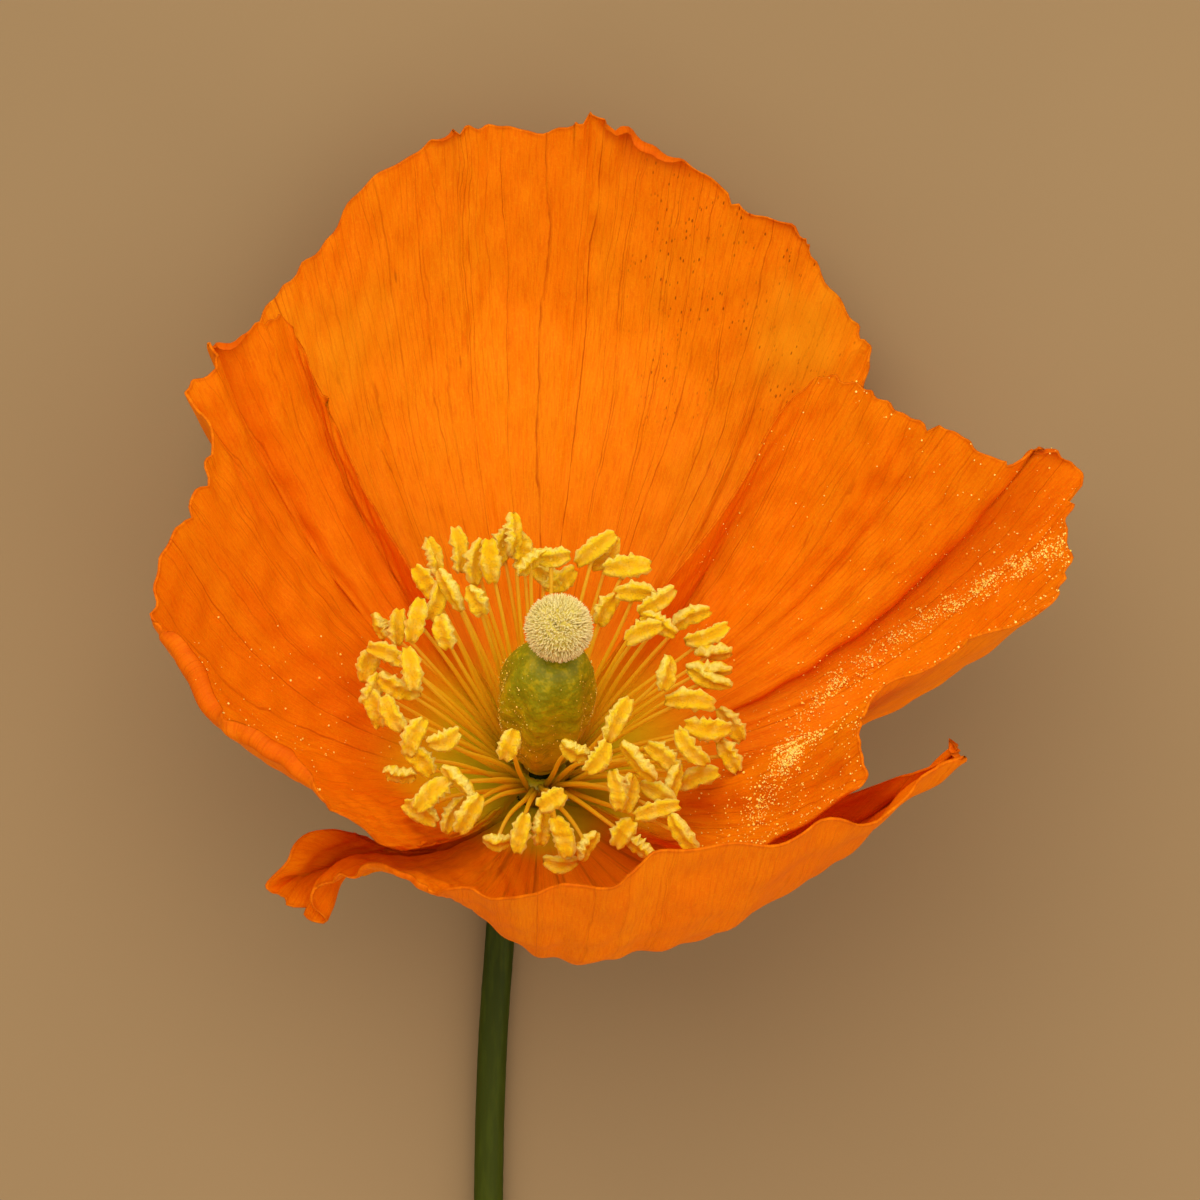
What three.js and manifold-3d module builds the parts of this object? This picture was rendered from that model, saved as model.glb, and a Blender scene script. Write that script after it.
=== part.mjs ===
// An orange poppy flower on its cut stem, laid down on a flat surface.
// Four broad papery petals in two whorls stand round a ring of stamens and a
// ribbed green ovary with a round stigma. The flower lies on the belly of its
// back petal and on the whole length of its stem.
// Millimetres, +Z up, +Y from the cut end towards the flower. The origin is the
// middle of the flat spot where the back petal touches the surface.

import * as THREE from 'three';
import Module from 'manifold-3d';
import { mergeVertices } from 'three/addons/utils/BufferGeometryUtils.js';

const { cos, sin, PI, atan2, pow, sqrt, max, min, round } = Math;
const DEG = PI / 180;

// ---------- Driving dimensions, mm and degrees ----------

const AXIS = new THREE.Vector3(0.05, 0.61, 0.79).normalize(); // the flower faces this way
const BASE_HEIGHT = 7.4;            // flower base above the surface
const REST_SPOT = { x: 0, y: 22.5 }; // flat spot of the back petal, from the flower base

const BLADE = 0.6;                  // petal thickness
const CLAW_RADIUS = 1.35;           // petals start this far from the axis
const CLAW_HALF_ANGLE = 38;         // half the arc that a claw takes round the axis
const OUTER_CLAW_LEVEL = -2.55;     // underside of a claw, along the axis
const INNER_CLAW_LEVEL = -1.5;
const PETAL_COLUMNS = 24;
const PETAL_ROWS = 12;
const HOOK_PLACE = 2.5;             // higher puts the turn of a hooked rib nearer its end

const STEM_RADIUS = 0.9;
const STEM_SIDES = 8;
const RECEPTACLE_RADIUS = 1.8;
const RECEPTACLE_LEVEL = -3.0;      // its top face, along the axis
const RECEPTACLE_LENGTH = 2.6;
const CORE_RADIUS = 0.65;           // the middle of the receptacle, which carries the ovary
const CORE_LEVEL = 0.5;

const OVARY_LEVEL = 0.8;
const OVARY_LENGTH = 10.7;
const OVARY_RADIUS = 2.75;
const OVARY_RIBS = 7;
const OVARY_RIB_DEPTH = 0.16;
const OVARY_SHOULDER = 1.5;         // above 1 puts its widest part nearer the top
const OVARY_FULLNESS = 0.4;         // lower is fuller
const OVARY_FOOT = 1.1;             // radius of its narrow foot

const STIGMA_RADIUS = 1.95;
const STIGMA_LEVEL = 13.9;          // its centre, along the axis
const STIGMA_OFFSET = 0.5;          // the short style leans to the right
const STYLE_RADIUS = 0.75;

const RING_INNER = 1.3;             // ring that the stamens grow from
const RING_OUTER = 2.1;
const RING_LEVEL = 0;
const RING_HEIGHT = 0.5;
const FILAMENT_ROOT_RADIUS = 0.2;
const FILAMENT_TIP_RADIUS = 0.16;
const FILAMENT_BOW = 0.5;           // how far its middle bows towards the front
const FILAMENT_SINK = 0.2;          // how far it runs into the anther and the ring
const ANTHER_WIDTH = 1.3;
const ANTHER_DEPTH = 0.9;
const ROOT_ROWS = [0.2, 0.5, 0.8];   // rows of roots, from the inside of the ring to its outside
const STAMEN_REACH = 13.5;          // how far most anthers are from the flower base
const LOWEST_REACH = 3.6;           // and how low they may lie

// Stamens from the back round to the front: where the anther is, from the flower
// base; its turn in the picture plane; its length; its roll, where 0 shows both
// lobes; and how far it is above (+) or below (-) the rest.
const STAMENS = [
  [-6.2, 12.7, 103, 2.4, 40, 0],
  [-4.7, 13.1, 96, 2.8, 20, 0.3],
  [-3.8, 12.4, 80, 2.8, 30, 0.6],
  [-2.9, 12.4, 95, 2.7, 0, 0.9],
  [-2.2, 13.4, 70, 2.4, 20, -0.3],
  [-1.5, 14.0, 90, 2.6, 50, 0.6],
  [-1.0, 13.1, 100, 2.4, 20, 0],
  [-0.5, 12.4, 40, 2.2, 60, 0.6],
  [0.7, 12.6, 0, 2.3, 30, 0.8],
  [0.3, 11.6, -40, 2.2, 20, -3.2],
  [3.3, 13.2, 37, 3.0, 10, 0.6],
  [4.1, 12.7, 50, 2.5, 30, -0.4],
  [5.2, 12.1, 3, 2.9, 0, 0.9],
  [3.9, 9.6, 60, 2.1, 30, -4.2],
  [5.7, 10.6, 0, 2.4, 20, -0.6],
  [7.0, 10.0, 35, 2.6, 20, 0.3],
  [6.1, 8.3, 25, 2.4, 10, -0.8],
  [7.1, 8.7, -30, 2.3, 30, -0.2],
  [8.8, 9.1, 25, 2.8, 40, 0],
  [10.0, 7.9, 20, 2.8, 0, 0.6],
  [10.3, 7.0, 0, 2.2, 70, 0],
  [10.0, 6.0, -5, 2.7, 70, 0.7],
  [10.0, 5.4, -20, 2.8, 40, 0.4],
  [7.5, 5.8, 80, 2.1, 40, 0.6],
  [8.9, 4.3, -5, 3.0, 10, 0.6],
  [4.6, 3.2, 62, 2.9, 20, 0.3],
  [9.9, 2.5, -5, 2.8, 0, 0.9],
  [11.4, 2.8, -55, 2.4, 30, -0.4],
  [11.2, 1.0, -60, 2.2, 30, 1.5],
  [8.8, 1.4, -50, 2.8, 10, 0.6],
  [7.3, 1.0, -40, 2.4, 20, -0.6],
  [9.3, -0.2, 20, 2.6, 10, -0.5],
  [7.9, -0.4, 75, 2.0, 50, -0.3],
  [2.1, 1.3, -25, 1.8, 50, 0],
  [3.6, 0.9, 55, 2.2, 10, 0.7],
  [5.8, 0.7, -48, 3.0, 60, 0.3],
  [4.6, -0.9, -80, 2.4, 10, 0.6],
  [5.3, -1.1, 80, 2.3, 40, -0.4],
  [7.0, -1.1, -30, 2.3, 20, -0.4],
  [6.9, -2.1, 15, 2.8, 0, 0.7],
  [4.9, -3.4, 55, 1.9, 10, 0.2],
  [8.4, -3.5, -55, 2.7, 40, 2.8],
  [6.0, -4.3, -35, 2.0, 60, 0.6],
  [0.8, -1.5, 30, 1.8, 0, 0],
  [-1.0, -3.4, 80, 2.4, 0, 0.3],
  [0.2, -3.1, 85, 2.1, 40, -0.6],
  [1.5, -3.6, -72, 2.5, 0, 0.4],
  [2.8, -4.1, 60, 1.9, 60, 0.2],
  [1.3, -5.3, 0, 2.0, 20, -0.6],
  [-2.4, -4.0, -5, 1.6, 50, -0.4],
  [-1.7, 1.7, 70, 1.9, 20, 0],
  [-5.4, 1.9, 20, 2.0, 20, 0],
  [-7.3, 2.2, 65, 2.4, 20, 0.5],
  [-6.8, 0.8, -45, 2.2, 20, -0.5],
  [-8.1, -0.1, -10, 1.9, 60, -0.3],
  [-6.2, -1.1, 40, 2.7, 0, 0.7],
  [-6.8, -2.2, -30, 2.3, 20, 0.3],
  [-4.5, -0.4, -45, 2.7, 70, 0.2],
  [-5.0, -2.3, 60, 2.4, 30, -0.5],
  [-4.0, -2.3, 60, 2.6, 30, 0.5],
  [-8.6, 3.4, -60, 2.4, 10, 0.6],
  [-9.5, 3.8, -70, 2.4, 20, -0.2],
  [-9.7, 4.8, 60, 2.0, 30, 0.3],
  [-8.2, 4.9, -20, 2.7, 30, -0.5],
  [-7.4, 6.1, -80, 2.6, 0, 0.9],
  [-8.9, 7.0, -25, 2.5, 10, 0.3],
  [-10.1, 6.4, 70, 2.4, 10, 0],
  [-9.4, 8.6, -65, 1.6, 70, 0],
  [-8.4, 8.5, 85, 2.2, 20, -0.5],
  [-7.2, 8.9, 75, 2.7, 0, 0.8],
  [-6.6, 11.0, -50, 2.7, 10, 0.6],
  [-6.0, 10.0, 75, 2.4, 20, -0.4],
  [-5.6, 8.2, -75, 2.1, 30, -0.8],
  [-5.2, 10.7, -60, 2.8, 60, 0.5],
  [-3.6, 10.1, -65, 1.9, 40, 0.2],
  [1.3, 11.2, 30, 2.2, 20, -3.8],
];

// Petal outlines, from the flower base, counterclockwise seen from the front.
// Each point is the end of one rib: x, y, z, how far the rib bellies out, and for
// some how far it is hooked.
const BACK_PETAL = {
  azimuth: 90,
  level: OUTER_CLAW_LEVEL,
  outline: [
    [5.2, 7.2, -4.0, 1.2],
    [10.0, 10.6, -5.0, 2.0],
    [14.5, 13.6, -5.0, 2.6],
    [18.3, 18.2, -3.8, 3.6],
    [19.6, 23.0, -2.0, 4.4],
    [20.0, 25.5, -2.0, 5.0],
    [18.9, 27.2, -2.4, 5.4],
    [16.6, 30.5, -1.8, 6.0],
    [15.5, 32.6, -1.0, 6.4],
    [12.2, 33.8, -1.4, 6.8],
    [9.1, 36.5, -1.2, 7.2],
    [6.0, 38.1, -0.8, 7.4],
    [3.5, 39.4, 0.2, 7.6],
    [2.0, 38.6, -0.6, 7.6],
    [-0.8, 38.5, -1.4, 7.6],
    [-3.4, 38.7, -0.8, 7.5],
    [-5.2, 38.5, -0.2, 7.3],
    [-7.4, 37.1, -0.8, 7.0],
    [-10.2, 35.6, -0.6, 6.6],
    [-12.6, 32.3, -1.4, 6.2],
    [-14.7, 29.9, -1.8, 5.8],
    [-16.5, 28.0, -2.0, 5.4],
    [-18.4, 24.6, -1.6, 4.8],
    [-19.7, 20.3, -2.0, 4.0],
    [-18.6, 15.6, -3.8, 3.0],
    [-14.6, 12.0, -5.0, 2.2],
    [-9.6, 9.6, -4.6, 1.6],
    [-4.8, 7.0, -3.8, 1.2],
  ],
};

const LEFT_PETAL = {
  azimuth: 180,
  level: INNER_CLAW_LEVEL,
  outline: [
    [-2.6, 4.4, -0.6, 0.4],
    [-6.0, 9.4, 0.0, 1.2],
    [-9.2, 14.8, 0.4, 2.2],
    [-11.5, 19.2, 2.0, 3.0],
    [-13.3, 23.6, 4.2, 3.6],
    [-15.3, 26.9, 6.4, 4.0],
    [-17.2, 25.9, 8.6, 4.2],
    [-19.5, 25.0, 8.6, 4.2],
    [-19.0, 23.8, 10.2, 4.2],
    [-20.6, 22.3, 11.4, 3.6],
    [-19.4, 20.3, 12.4, 3.2],
    [-19.7, 16.8, 14.0, 3.4],
    [-21.5, 13.4, 15.6, 4.2],
    [-22.1, 9.6, 17.6, 4.4],
    [-21.6, 7.4, 18.8, 4.0],
    [-18.5, 3.1, 21.0, 3.2],
    [-16.5, 1.9, 22.0, 2.8],
    [-13.3, -0.4, 22.6, 2.2],
    [-11.4, -2.1, 20.8, 1.8],
    [-9.1, -3.9, 17.0, 1.3],
    [-7.6, -4.4, 13.0, 1.0],
    [-5.8, -4.3, 9.0, 0.9],
    [-4.0, -3.7, 5.6, 0.5],
    [-2.5, -2.6, 3.0, 0.2],
  ],
};

const FRONT_PETAL = {
  azimuth: 270,
  level: OUTER_CLAW_LEVEL,
  outline: [
    [-3.0, -4.0, -0.6, 0.3],
    [-6.2, -4.6, 2.0, 0.9],
    [-9.4, -4.4, 5.6, 1.7],
    [-12.2, -3.1, 10.2, 2.2],
    [-14.5, -4.5, 11.8, 2.4, 0.5],
    [-15.9, -6.6, 11.4, 2.6, 1.0],
    [-15.1, -7.5, 10.6, 2.4, 1.8],
    [-12.8, -8.7, 10.0, 2.2, 2.8],
    [-12.6, -6.9, 12.0, 2.2, 1.8],
    [-11.2, -6.2, 13.0, 2.2, 1.0],
    [-10.2, -5.6, 14.0, 2.2, 0.3],
    [-7.9, -6.1, 16.0, 2.2, 0.2],
    [-6.3, -6.9, 17.5, 2.6, 0.3],
    [-5.1, -6.5, 19.5, 3.0],
    [-2.8, -6.9, 22.0, 4.2],
    [-0.4, -6.7, 24.0, 5.6],
    [1.8, -6.0, 25.5, 6.5],
    [4.7, -6.0, 26.8, 6.8],
    [6.4, -4.4, 27.5, 7.2],
    [9.2, -3.8, 27.5, 7.4],
    [13.1, -3.7, 26.4, 7.0],
    [16.8, -2.6, 24.8, 6.4],
    [19.6, -2.4, 22.0, 5.6],
    [22.0, -0.4, 20.4, 5.0],
    [24.5, 1.0, 19.2, 4.6],
    [24.2, 2.0, 19.2, 4.8],
    [21.8, 0.6, 17.4, 5.2],
    [18.8, -0.8, 13.2, 4.6],
    [14.4, -2.5, 7.2, 3.1],
    [9.4, -4.1, 1.2, 1.7],
    [4.4, -4.6, -1.8, 0.6],
  ],
};

const RIGHT_PETAL = {
  azimuth: 0,
  level: INNER_CLAW_LEVEL,
  outline: [
    [3.2, -2.3, 3.0, 0.2],
    [5.2, -3.3, 5.4, 0.4],
    [7.2, -4.0, 8.4, 0.7],
    [9.4, -4.4, 11.6, 1.1],
    [13.0, -4.1, 15.8, 2.1],
    [16.6, -2.1, 19.8, 2.8],
    [18.6, 0.0, 21.0, 3.4],
    [18.6, 1.9, 21.0, 3.4],
    [18.7, 3.6, 20.6, 2.6],
    [21.2, 5.6, 19.4, 2.8],
    [25.2, 7.5, 16.8, 3.2],
    [29.9, 9.9, 13.0, 4.2],
    [30.9, 11.8, 12.0, 5.8],
    [31.1, 14.8, 10.2, 5.6],
    [32.0, 16.6, 9.2, 5.4],
    [31.1, 18.4, 8.8, 5.2],
    [29.3, 19.4, 8.8, 5.0],
    [27.9, 18.3, 9.6, 4.8],
    [25.4, 19.3, 8.6, 4.6],
    [23.7, 20.5, 7.4, 4.4],
    [21.2, 21.3, 7.2, 4.2],
    [19.4, 22.6, 5.4, 4.0],
    [17.1, 23.5, 4.4, 3.8],
    [14.5, 21.7, 3.0, 3.4],
    [10.8, 15.4, 1.0, 2.4],
    [6.0, 9.4, 0.0, 1.3],
    [2.6, 4.6, -0.6, 0.4],
  ],
};

// Lying part of the stem: its centre line, x and y from the flower base
const STEM_ROUTE = [
  [-2.5, -10.4],
  [-2.95, -17],
  [-3.2, -26],
  [-3.1, -38],
  [-2.4, -52],
  [-0.9, -68],
  [1.4, -86],
];

// ---------- Colours ----------

const ORANGE = { color: 0xf4720a, roughness: 0.62, metalness: 0 };
const STEM_GREEN = { color: 0x3c4206, roughness: 0.5, metalness: 0 };
const OVARY_GREEN = { color: 0xa2860c, roughness: 0.45, metalness: 0 };
const STIGMA_CREAM = { color: 0xe9cc68, roughness: 0.8, metalness: 0 };
const ANTHER_YELLOW = { color: 0xf9bd1c, roughness: 0.7, metalness: 0 };

// ---------- The flower's own frame ----------

const ACROSS = new THREE.Vector3(1, 0, 0).addScaledVector(AXIS, -AXIS.x).normalize();
const AWAY = new THREE.Vector3().crossVectors(AXIS, ACROSS);

// A point by its azimuth and distance from the axis and its level along it
function polar(azimuth, radius, level) {
  return AXIS.clone().multiplyScalar(level)
    .addScaledVector(ACROSS, radius * cos(azimuth * DEG))
    .addScaledVector(AWAY, radius * sin(azimuth * DEG));
}

// ---------- Mesh helpers ----------

function geometryOf(points, triangles) {
  const geometry = new THREE.BufferGeometry();
  const numbers = points.flatMap((p) => p.toArray());
  geometry.setAttribute('position', new THREE.Float32BufferAttribute(numbers, 3));
  geometry.setIndex(triangles);
  return geometry;
}

// Closed body through a row of rings, each with the same number of points,
// counterclockwise seen from where the rings go to
function ringBody(rings) {
  const sides = rings[0].length;
  const points = rings.flat();
  const triangles = [];
  for (let r = 0; r + 1 < rings.length; r++) {
    for (let s = 0; s < sides; s++) {
      const a = r * sides + s;
      const b = r * sides + (s + 1) % sides;
      triangles.push(a, b, b + sides, a, b + sides, a + sides);
    }
  }
  for (const [ring, first] of [[rings[0], 0], [rings.at(-1), points.length - sides]]) {
    const middle = ring.reduce((sum, p) => sum.add(p), new THREE.Vector3()).divideScalar(sides);
    const centre = points.push(middle) - 1;
    for (let s = 0; s < sides; s++) {
      const a = first + s;
      const b = first + (s + 1) % sides;
      triangles.push(...(first === 0 ? [centre, b, a] : [centre, a, b]));
    }
  }
  return geometryOf(points, triangles);
}

// One ring of points round a centre in the plane of two unit vectors
function ring(centre, u, v, radiusAt, sides, turn = 0) {
  return Array.from({ length: sides }, (_, s) => {
    const angle = turn + (2 * PI * s) / sides;
    const radius = radiusAt(angle);
    return centre.clone().addScaledVector(u, radius * cos(angle)).addScaledVector(v, radius * sin(angle));
  });
}

// ---------- Petals ----------

// A rib runs from the claw to its point of the outline and bellies out, away from
// the axis. A hooked rib first runs level and turns down near its end.
function petalSurface(petal) {
  const ends = petal.outline.map(([x, y, z]) => new THREE.Vector3(x, y, z));
  const margin = new THREE.CatmullRomCurve3(ends, false, 'centripetal');
  const bellies = new THREE.SplineCurve(petal.outline.map((row, i) => new THREE.Vector2(i, row[3])));
  const hooks = new THREE.SplineCurve(petal.outline.map((row, i) => new THREE.Vector2(i, row[4] ?? 0)));
  return (u, v) => {
    const end = margin.getPoint(u);
    const start = polar(petal.azimuth + (2 * u - 1) * CLAW_HALF_ANGLE, CLAW_RADIUS, petal.level);
    const chord = end.clone().sub(start);
    const along = chord.clone().normalize();
    const outward = along.clone().multiplyScalar(along.dot(AXIS)).sub(AXIS).normalize();
    const belly = bellies.getPoint(u).y * sin(PI * v);
    const point = start.addScaledVector(chord, v).addScaledVector(outward, belly);
    point.y += hooks.getPoint(u).y * sin(PI * v ** HOOK_PLACE);
    point.z = max(point.z, -BASE_HEIGHT);
    return point;
  };
}

function petalBlade(petal) {
  const surface = petalSurface(petal);
  const outer = [];
  const inner = [];
  const step = 1e-3;
  for (let c = 0; c <= PETAL_COLUMNS; c++) {
    for (let r = 0; r <= PETAL_ROWS; r++) {
      const u = c / PETAL_COLUMNS;
      const v = r / PETAL_ROWS;
      const point = surface(u, v);
      const du = surface(min(u + step, 1), v).sub(surface(max(u - step, 0), v));
      const dv = surface(u, min(v + step, 1)).sub(surface(u, max(v - step, 0)));
      const normal = dv.cross(du).normalize();
      outer.push(point);
      inner.push(point.clone().addScaledVector(normal, BLADE));
    }
  }
  const count = outer.length;
  const at = (c, r) => c * (PETAL_ROWS + 1) + r;
  const triangles = [];
  const quad = (a, b, c, d) => triangles.push(a, b, c, a, c, d);
  for (let c = 0; c < PETAL_COLUMNS; c++) {
    for (let r = 0; r < PETAL_ROWS; r++) {
      const [a, b, d, e] = [at(c, r), at(c, r + 1), at(c + 1, r + 1), at(c + 1, r)];
      quad(e, d, b, a);
      quad(a + count, b + count, d + count, e + count);
    }
  }
  const wall = (a, b) => quad(a, b, b + count, a + count);
  for (let r = 0; r < PETAL_ROWS; r++) {
    wall(at(0, r), at(0, r + 1));
    wall(at(PETAL_COLUMNS, r + 1), at(PETAL_COLUMNS, r));
  }
  for (let c = 0; c < PETAL_COLUMNS; c++) {
    wall(at(c + 1, 0), at(c, 0));
    wall(at(c, PETAL_ROWS), at(c + 1, PETAL_ROWS));
  }
  return geometryOf(outer.concat(inner), triangles);
}

// ---------- Stem with its receptacle ----------

function stemBody() {
  const neck = polar(0, 0, RECEPTACLE_LEVEL - RECEPTACLE_LENGTH);
  const lying = STEM_ROUTE.map(([x, y]) => new THREE.Vector3(x, y, STEM_RADIUS - BASE_HEIGHT));
  const bend = new THREE.CubicBezierCurve3(
    neck,
    neck.clone().addScaledVector(AXIS, -2),
    lying[0].clone().add(new THREE.Vector3(0.15, 3.4, 0)),
    lying[0],
  );
  const run = new THREE.CatmullRomCurve3(lying, false, 'centripetal');
  const path = [];
  for (let i = 0; i < 6; i++) path.push(bend.getPoint(i / 6));
  for (let i = 0; i <= 22; i++) path.push(run.getPoint(i / 22));

  const pointed = STEM_RADIUS / cos(PI / STEM_SIDES);
  const flatDown = PI / STEM_SIDES;
  const collar = (level, radius) => (
    ring(polar(0, 0, level), ACROSS, AWAY, () => radius, STEM_SIDES, flatDown)
  );
  const rings = [
    collar(CORE_LEVEL, CORE_RADIUS),
    collar(RECEPTACLE_LEVEL, CORE_RADIUS),
    collar(RECEPTACLE_LEVEL, 0.7 * RECEPTACLE_RADIUS),
    collar(RECEPTACLE_LEVEL - 0.3 * RECEPTACLE_LENGTH, RECEPTACLE_RADIUS),
    collar(RECEPTACLE_LEVEL - 0.6 * RECEPTACLE_LENGTH, RECEPTACLE_RADIUS * 0.75),
  ];
  path.forEach((point, i) => {
    const before = path[max(i - 1, 0)];
    const after = path[min(i + 1, path.length - 1)];
    const forward = i === 0 ? AXIS.clone().negate() : after.clone().sub(before).normalize();
    const level = new THREE.Vector3(1, 0, 0).addScaledVector(forward, -forward.x).normalize();
    const side = i === 0 ? ACROSS.clone() : level;
    const up = new THREE.Vector3().crossVectors(side, forward);
    rings.push(ring(point, side, up, () => (i === 0 ? pointed * 1.25 : pointed), STEM_SIDES, flatDown));
  });
  return ringBody(rings.reverse());
}

// ---------- Ovary and stigma ----------

function ovaryBody() {
  const rows = 10;
  const sides = 2 * OVARY_RIBS;
  const rings = [];
  for (let r = 0; r <= rows; r++) {
    const t = r / rows;
    const swell = pow(sin(PI * pow(t, OVARY_SHOULDER)), OVARY_FULLNESS);
    const radius = STYLE_RADIUS + (OVARY_RADIUS - STYLE_RADIUS) * swell;
    const foot = t === 0 ? OVARY_FOOT : radius;
    const ribbed = (angle) => foot + OVARY_RIB_DEPTH * cos(OVARY_RIBS * angle) * sin(PI * t);
    const lean = STIGMA_OFFSET * pow(t, 6);
    rings.push(ring(polar(0, lean, OVARY_LEVEL + t * OVARY_LENGTH), ACROSS, AWAY, ribbed, sides));
  }
  return ringBody(rings);
}

function stigmaBody() {
  const rows = 9;
  const sides = 16;
  const rings = [];
  for (let r = 0; r <= rows; r++) {
    const polarAngle = PI * (0.07 + 0.86 * (r / rows));
    const level = STIGMA_LEVEL - STIGMA_RADIUS * cos(polarAngle);
    const knobs = (angle) => {
      const raised = (r + round((angle / (2 * PI)) * sides)) % 2;
      return STIGMA_RADIUS * sin(polarAngle) * (raised ? 1.07 : 0.93);
    };
    rings.push(ring(polar(0, STIGMA_OFFSET, level), ACROSS, AWAY, knobs, sides));
  }
  return ringBody(rings);
}

// ---------- Stamens ----------

const wasm = await Module();
wasm.setup();

function solidOf(geometry) {
  const bare = new THREE.BufferGeometry();
  bare.setAttribute('position', geometry.getAttribute('position'));
  if (geometry.index) bare.setIndex(geometry.index);
  const merged = mergeVertices(bare, 1e-4);
  return new wasm.Manifold(new wasm.Mesh({
    numProp: 3,
    vertProperties: merged.getAttribute('position').array,
    triVerts: new Uint32Array(merged.index.array),
  }));
}

function filament(root, tip) {
  const along = tip.clone().sub(root).normalize();
  const side = new THREE.Vector3().crossVectors(along, AXIS).normalize();
  const up = new THREE.Vector3().crossVectors(along, side);
  const bow = AXIS.clone().multiplyScalar(FILAMENT_BOW);
  const steps = 2;
  const rings = [];
  for (let i = 0; i <= steps; i++) {
    const t = i / steps;
    const radius = FILAMENT_ROOT_RADIUS + (FILAMENT_TIP_RADIUS - FILAMENT_ROOT_RADIUS) * t;
    const centre = root.clone().lerp(tip, t).addScaledVector(bow, sin(PI * t));
    rings.push(ring(centre, side, up, () => radius, 3));
  }
  return ringBody(rings);
}

function anther(centre, along, flat, length) {
  const side = new THREE.Vector3().crossVectors(along, flat).normalize();
  const face = new THREE.Vector3().crossVectors(along, side);
  const rows = 3;
  const rings = [];
  for (let i = 0; i <= rows; i++) {
    const t = (i + 0.35) / (rows + 0.7);
    const width = pow(sin(PI * t), 0.6);
    const middle = centre.clone().addScaledVector(along, (t - 0.5) * length);
    const points = ring(new THREE.Vector3(), side.clone().multiplyScalar(ANTHER_WIDTH / 2),
      face.clone().multiplyScalar(ANTHER_DEPTH / 2), () => width, 6);
    rings.push(points.map((p) => p.add(middle)));
  }
  return ringBody(rings);
}

function stamensBody() {
  const profile = [
    [RING_INNER, RING_LEVEL],
    [RING_OUTER, RING_LEVEL],
    [RING_OUTER, RING_LEVEL + RING_HEIGHT * 0.6],
    [RING_INNER + 0.3, RING_LEVEL + RING_HEIGHT],
    [RING_INNER, RING_LEVEL + RING_HEIGHT],
    [RING_INNER, RING_LEVEL],
  ].map(([x, y]) => new THREE.Vector2(x, y));
  const basal = new THREE.LatheGeometry(profile, 20);
  const turned = new THREE.Matrix4().makeBasis(ACROSS, AXIS, AWAY.clone().negate());
  basal.applyMatrix4(turned);
  const solids = [solidOf(basal)];
  STAMENS.forEach(([x, y, turn, length, roll, lift], i) => {
    const height = sqrt(max(STAMEN_REACH ** 2 - x * x - y * y, LOWEST_REACH ** 2));
    const tip = new THREE.Vector3(x, y, height + lift);
    const around = atan2(tip.dot(AWAY), tip.dot(ACROSS)) / DEG;
    const rootRadius = RING_INNER + (RING_OUTER - RING_INNER) * ROOT_ROWS[i % ROOT_ROWS.length];
    const root = polar(around, rootRadius, RING_LEVEL + FILAMENT_SINK);
    const along = tip.clone().sub(root).normalize();
    const lie = new THREE.Vector3(cos(turn * DEG), sin(turn * DEG), 0);
    const flat = new THREE.Vector3(0, 0, 1).applyAxisAngle(lie, roll * DEG);
    solids.push(solidOf(filament(root, tip.clone().addScaledVector(along, FILAMENT_SINK))));
    solids.push(solidOf(anther(tip, lie, flat, length)));
  });
  // The largest shell is the whole: the small hollows between roots are filled.
  const shells = wasm.Manifold.union(solids).decompose().sort((a, b) => b.volume() - a.volume());
  const joined = shells[0].getMesh();
  const geometry = new THREE.BufferGeometry();
  geometry.setAttribute('position', new THREE.BufferAttribute(joined.vertProperties, 3));
  geometry.setIndex(new THREE.BufferAttribute(joined.triVerts, 1));
  return geometry;
}

// ---------- The flower ----------

const flower = new THREE.Group();
flower.position.set(-REST_SPOT.x, -REST_SPOT.y, BASE_HEIGHT);

function add(name, geometry, finish) {
  const mesh = new THREE.Mesh(geometry, new THREE.MeshStandardMaterial(finish));
  mesh.name = name;
  flower.add(mesh);
}

add('stem', stemBody(), STEM_GREEN);
add('petal_back', petalBlade(BACK_PETAL), ORANGE);
add('petal_left', petalBlade(LEFT_PETAL), ORANGE);
add('petal_front', petalBlade(FRONT_PETAL), ORANGE);
add('petal_right', petalBlade(RIGHT_PETAL), ORANGE);
add('ovary', ovaryBody(), OVARY_GREEN);
add('stigma', stigmaBody(), STIGMA_CREAM);
add('stamens', stamensBody(), ANTHER_YELLOW);

export default flower;
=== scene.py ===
"""Looks of an orange poppy flower that lies on its side on a flat surface.

Shapes are worked out in millimetres from the foot of the flower, with +X to the
right, +Y towards the flower and +Z up from the surface, and are turned into metres
in the row frame when a mesh is made.
"""

import math

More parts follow.
